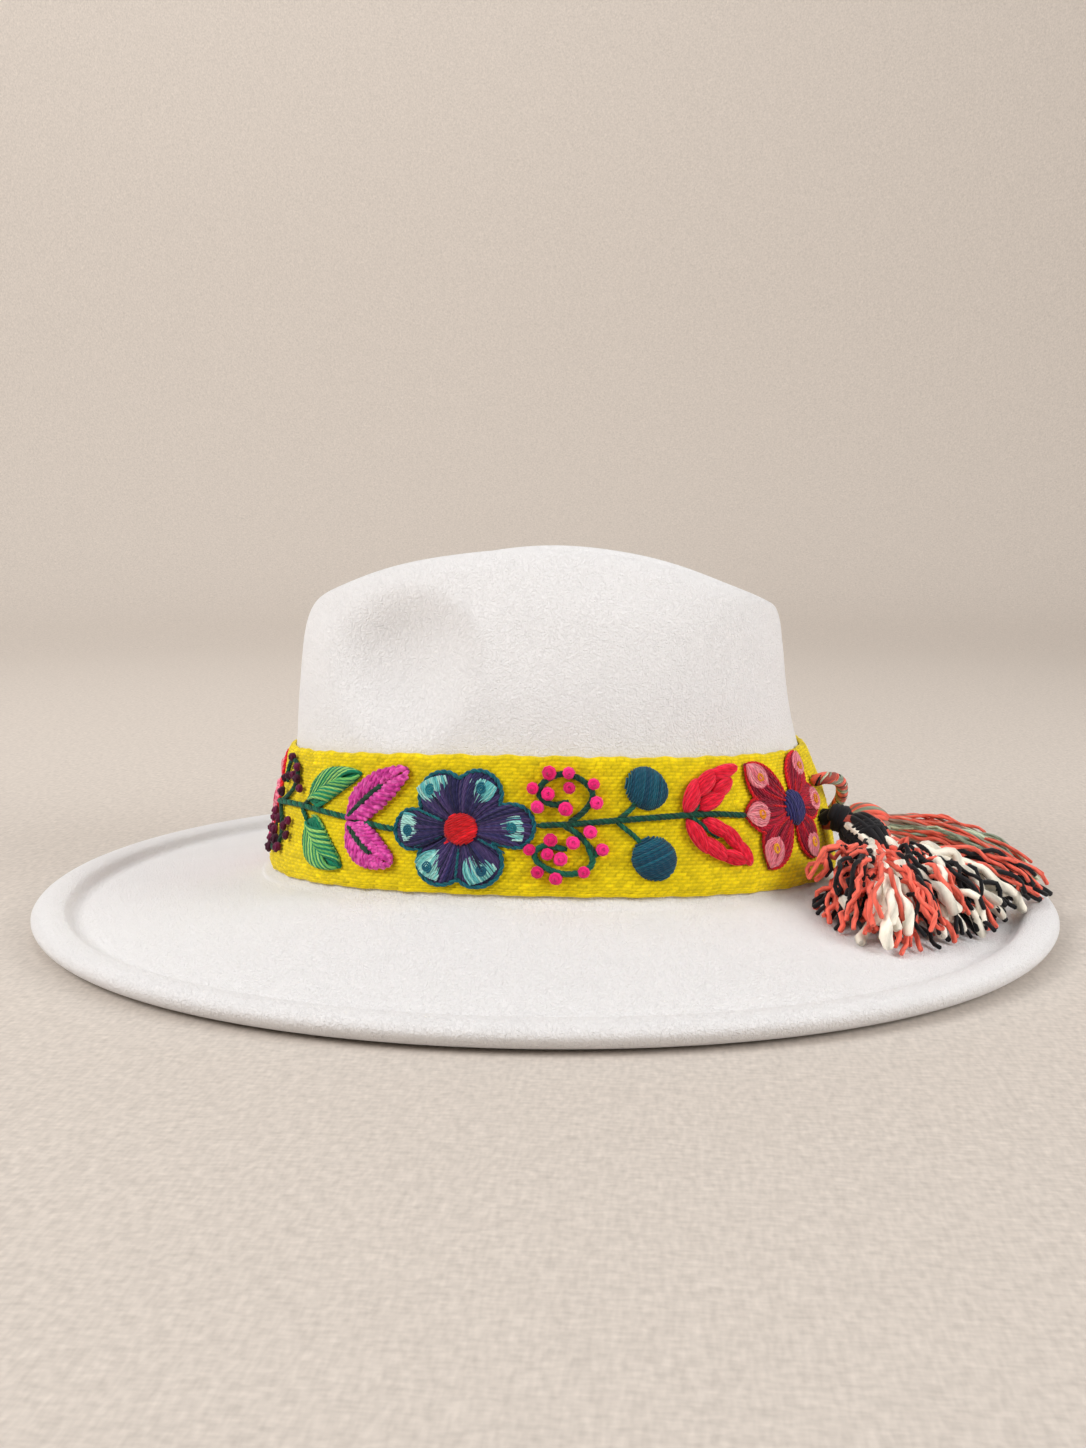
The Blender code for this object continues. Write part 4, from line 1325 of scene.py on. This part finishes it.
# A lamp over the hat that lights the wall behind it: place in metres, size, power.
WALL_LAMP_PLACE = (-0.3, -0.45, 1.7)
WALL_LAMP_SIZE = 1.4
WALL_LAMP_POWER = 20.0
WALL_LAMP_AIM = (-1.0, -0.05, -0.30)


def add_lamp(name, place, away, size, power, color=(1.0, 1.0, 1.0)):
    """A round area lamp that shines against the direction away."""
    light = bpy.data.lights.new(name, "AREA")
    light.shape = "DISK"
    light.size = size
    light.energy = power
    light.color = color
    lamp = bpy.data.objects.new(name, light)
    lamp.location = place
    lamp.rotation_euler = away.to_track_quat("Z", "Y").to_euler()
    bpy.context.scene.collection.objects.link(lamp)


def build_lights():
    for name, turn, tilt, distance, size, power, color in LIGHTS:
        azimuth, elevation = math.radians(turn) + CAMERA_TURN, math.radians(tilt)
        out = Vector((math.cos(azimuth) * math.cos(elevation), math.sin(azimuth) * math.cos(elevation),
                      math.sin(elevation)))
        add_lamp(name, out * distance + Vector((0.0, 0.0, 0.05)), out, size, power, color)
    add_lamp("wall", WALL_LAMP_PLACE, -Vector(WALL_LAMP_AIM), WALL_LAMP_SIZE, WALL_LAMP_POWER)
    world = bpy.data.worlds.new("studio")
    world.use_nodes = True
    background = world.node_tree.nodes["Background"]
    background.inputs["Color"].default_value = (*WORLD_COLOR, 1.0)
    background.inputs["Strength"].default_value = WORLD_STRENGTH
    bpy.context.scene.world = world


def build_camera():
    data = bpy.data.cameras.new("photo")
    data.lens = CAMERA_LENS
    data.sensor_width = SENSOR_WIDTH
    data.clip_start = 0.01
    camera = bpy.data.objects.new("photo", data)
    place = Vector((math.cos(CAMERA_TURN), math.sin(CAMERA_TURN), 0.0)) * CAMERA_DISTANCE
    place.z = CAMERA_HEIGHT
    camera.location = place * MM
    level = math.cos(CAMERA_PITCH)
    view = Vector((-math.cos(CAMERA_TURN) * level, -math.sin(CAMERA_TURN) * level, -math.sin(CAMERA_PITCH)))
    camera.rotation_euler = view.to_track_quat("-Z", "Y").to_euler()
    bpy.context.scene.collection.objects.link(camera)
    bpy.context.scene.camera = camera


build_felt(felt_material())
build_band(weave_material())
SATIN = yarn_material("embroidery_yarn", 3.0, 0.35, 0.75, 0.12)
YARN = yarn_material("cord_and_tassel_yarn", 2.0, 0.22, 0.85, 0.15)
for far_side in (False, True):
    build_embroidery(SATIN, far_side)
build_front_flower(SATIN)
coral_tassel = build_coral_tassel(YARN)
build_cord(YARN)
build_black_tassel(YARN)
build_stage()
build_lights()
build_camera()
bpy.context.scene.view_settings.view_transform = "Standard"
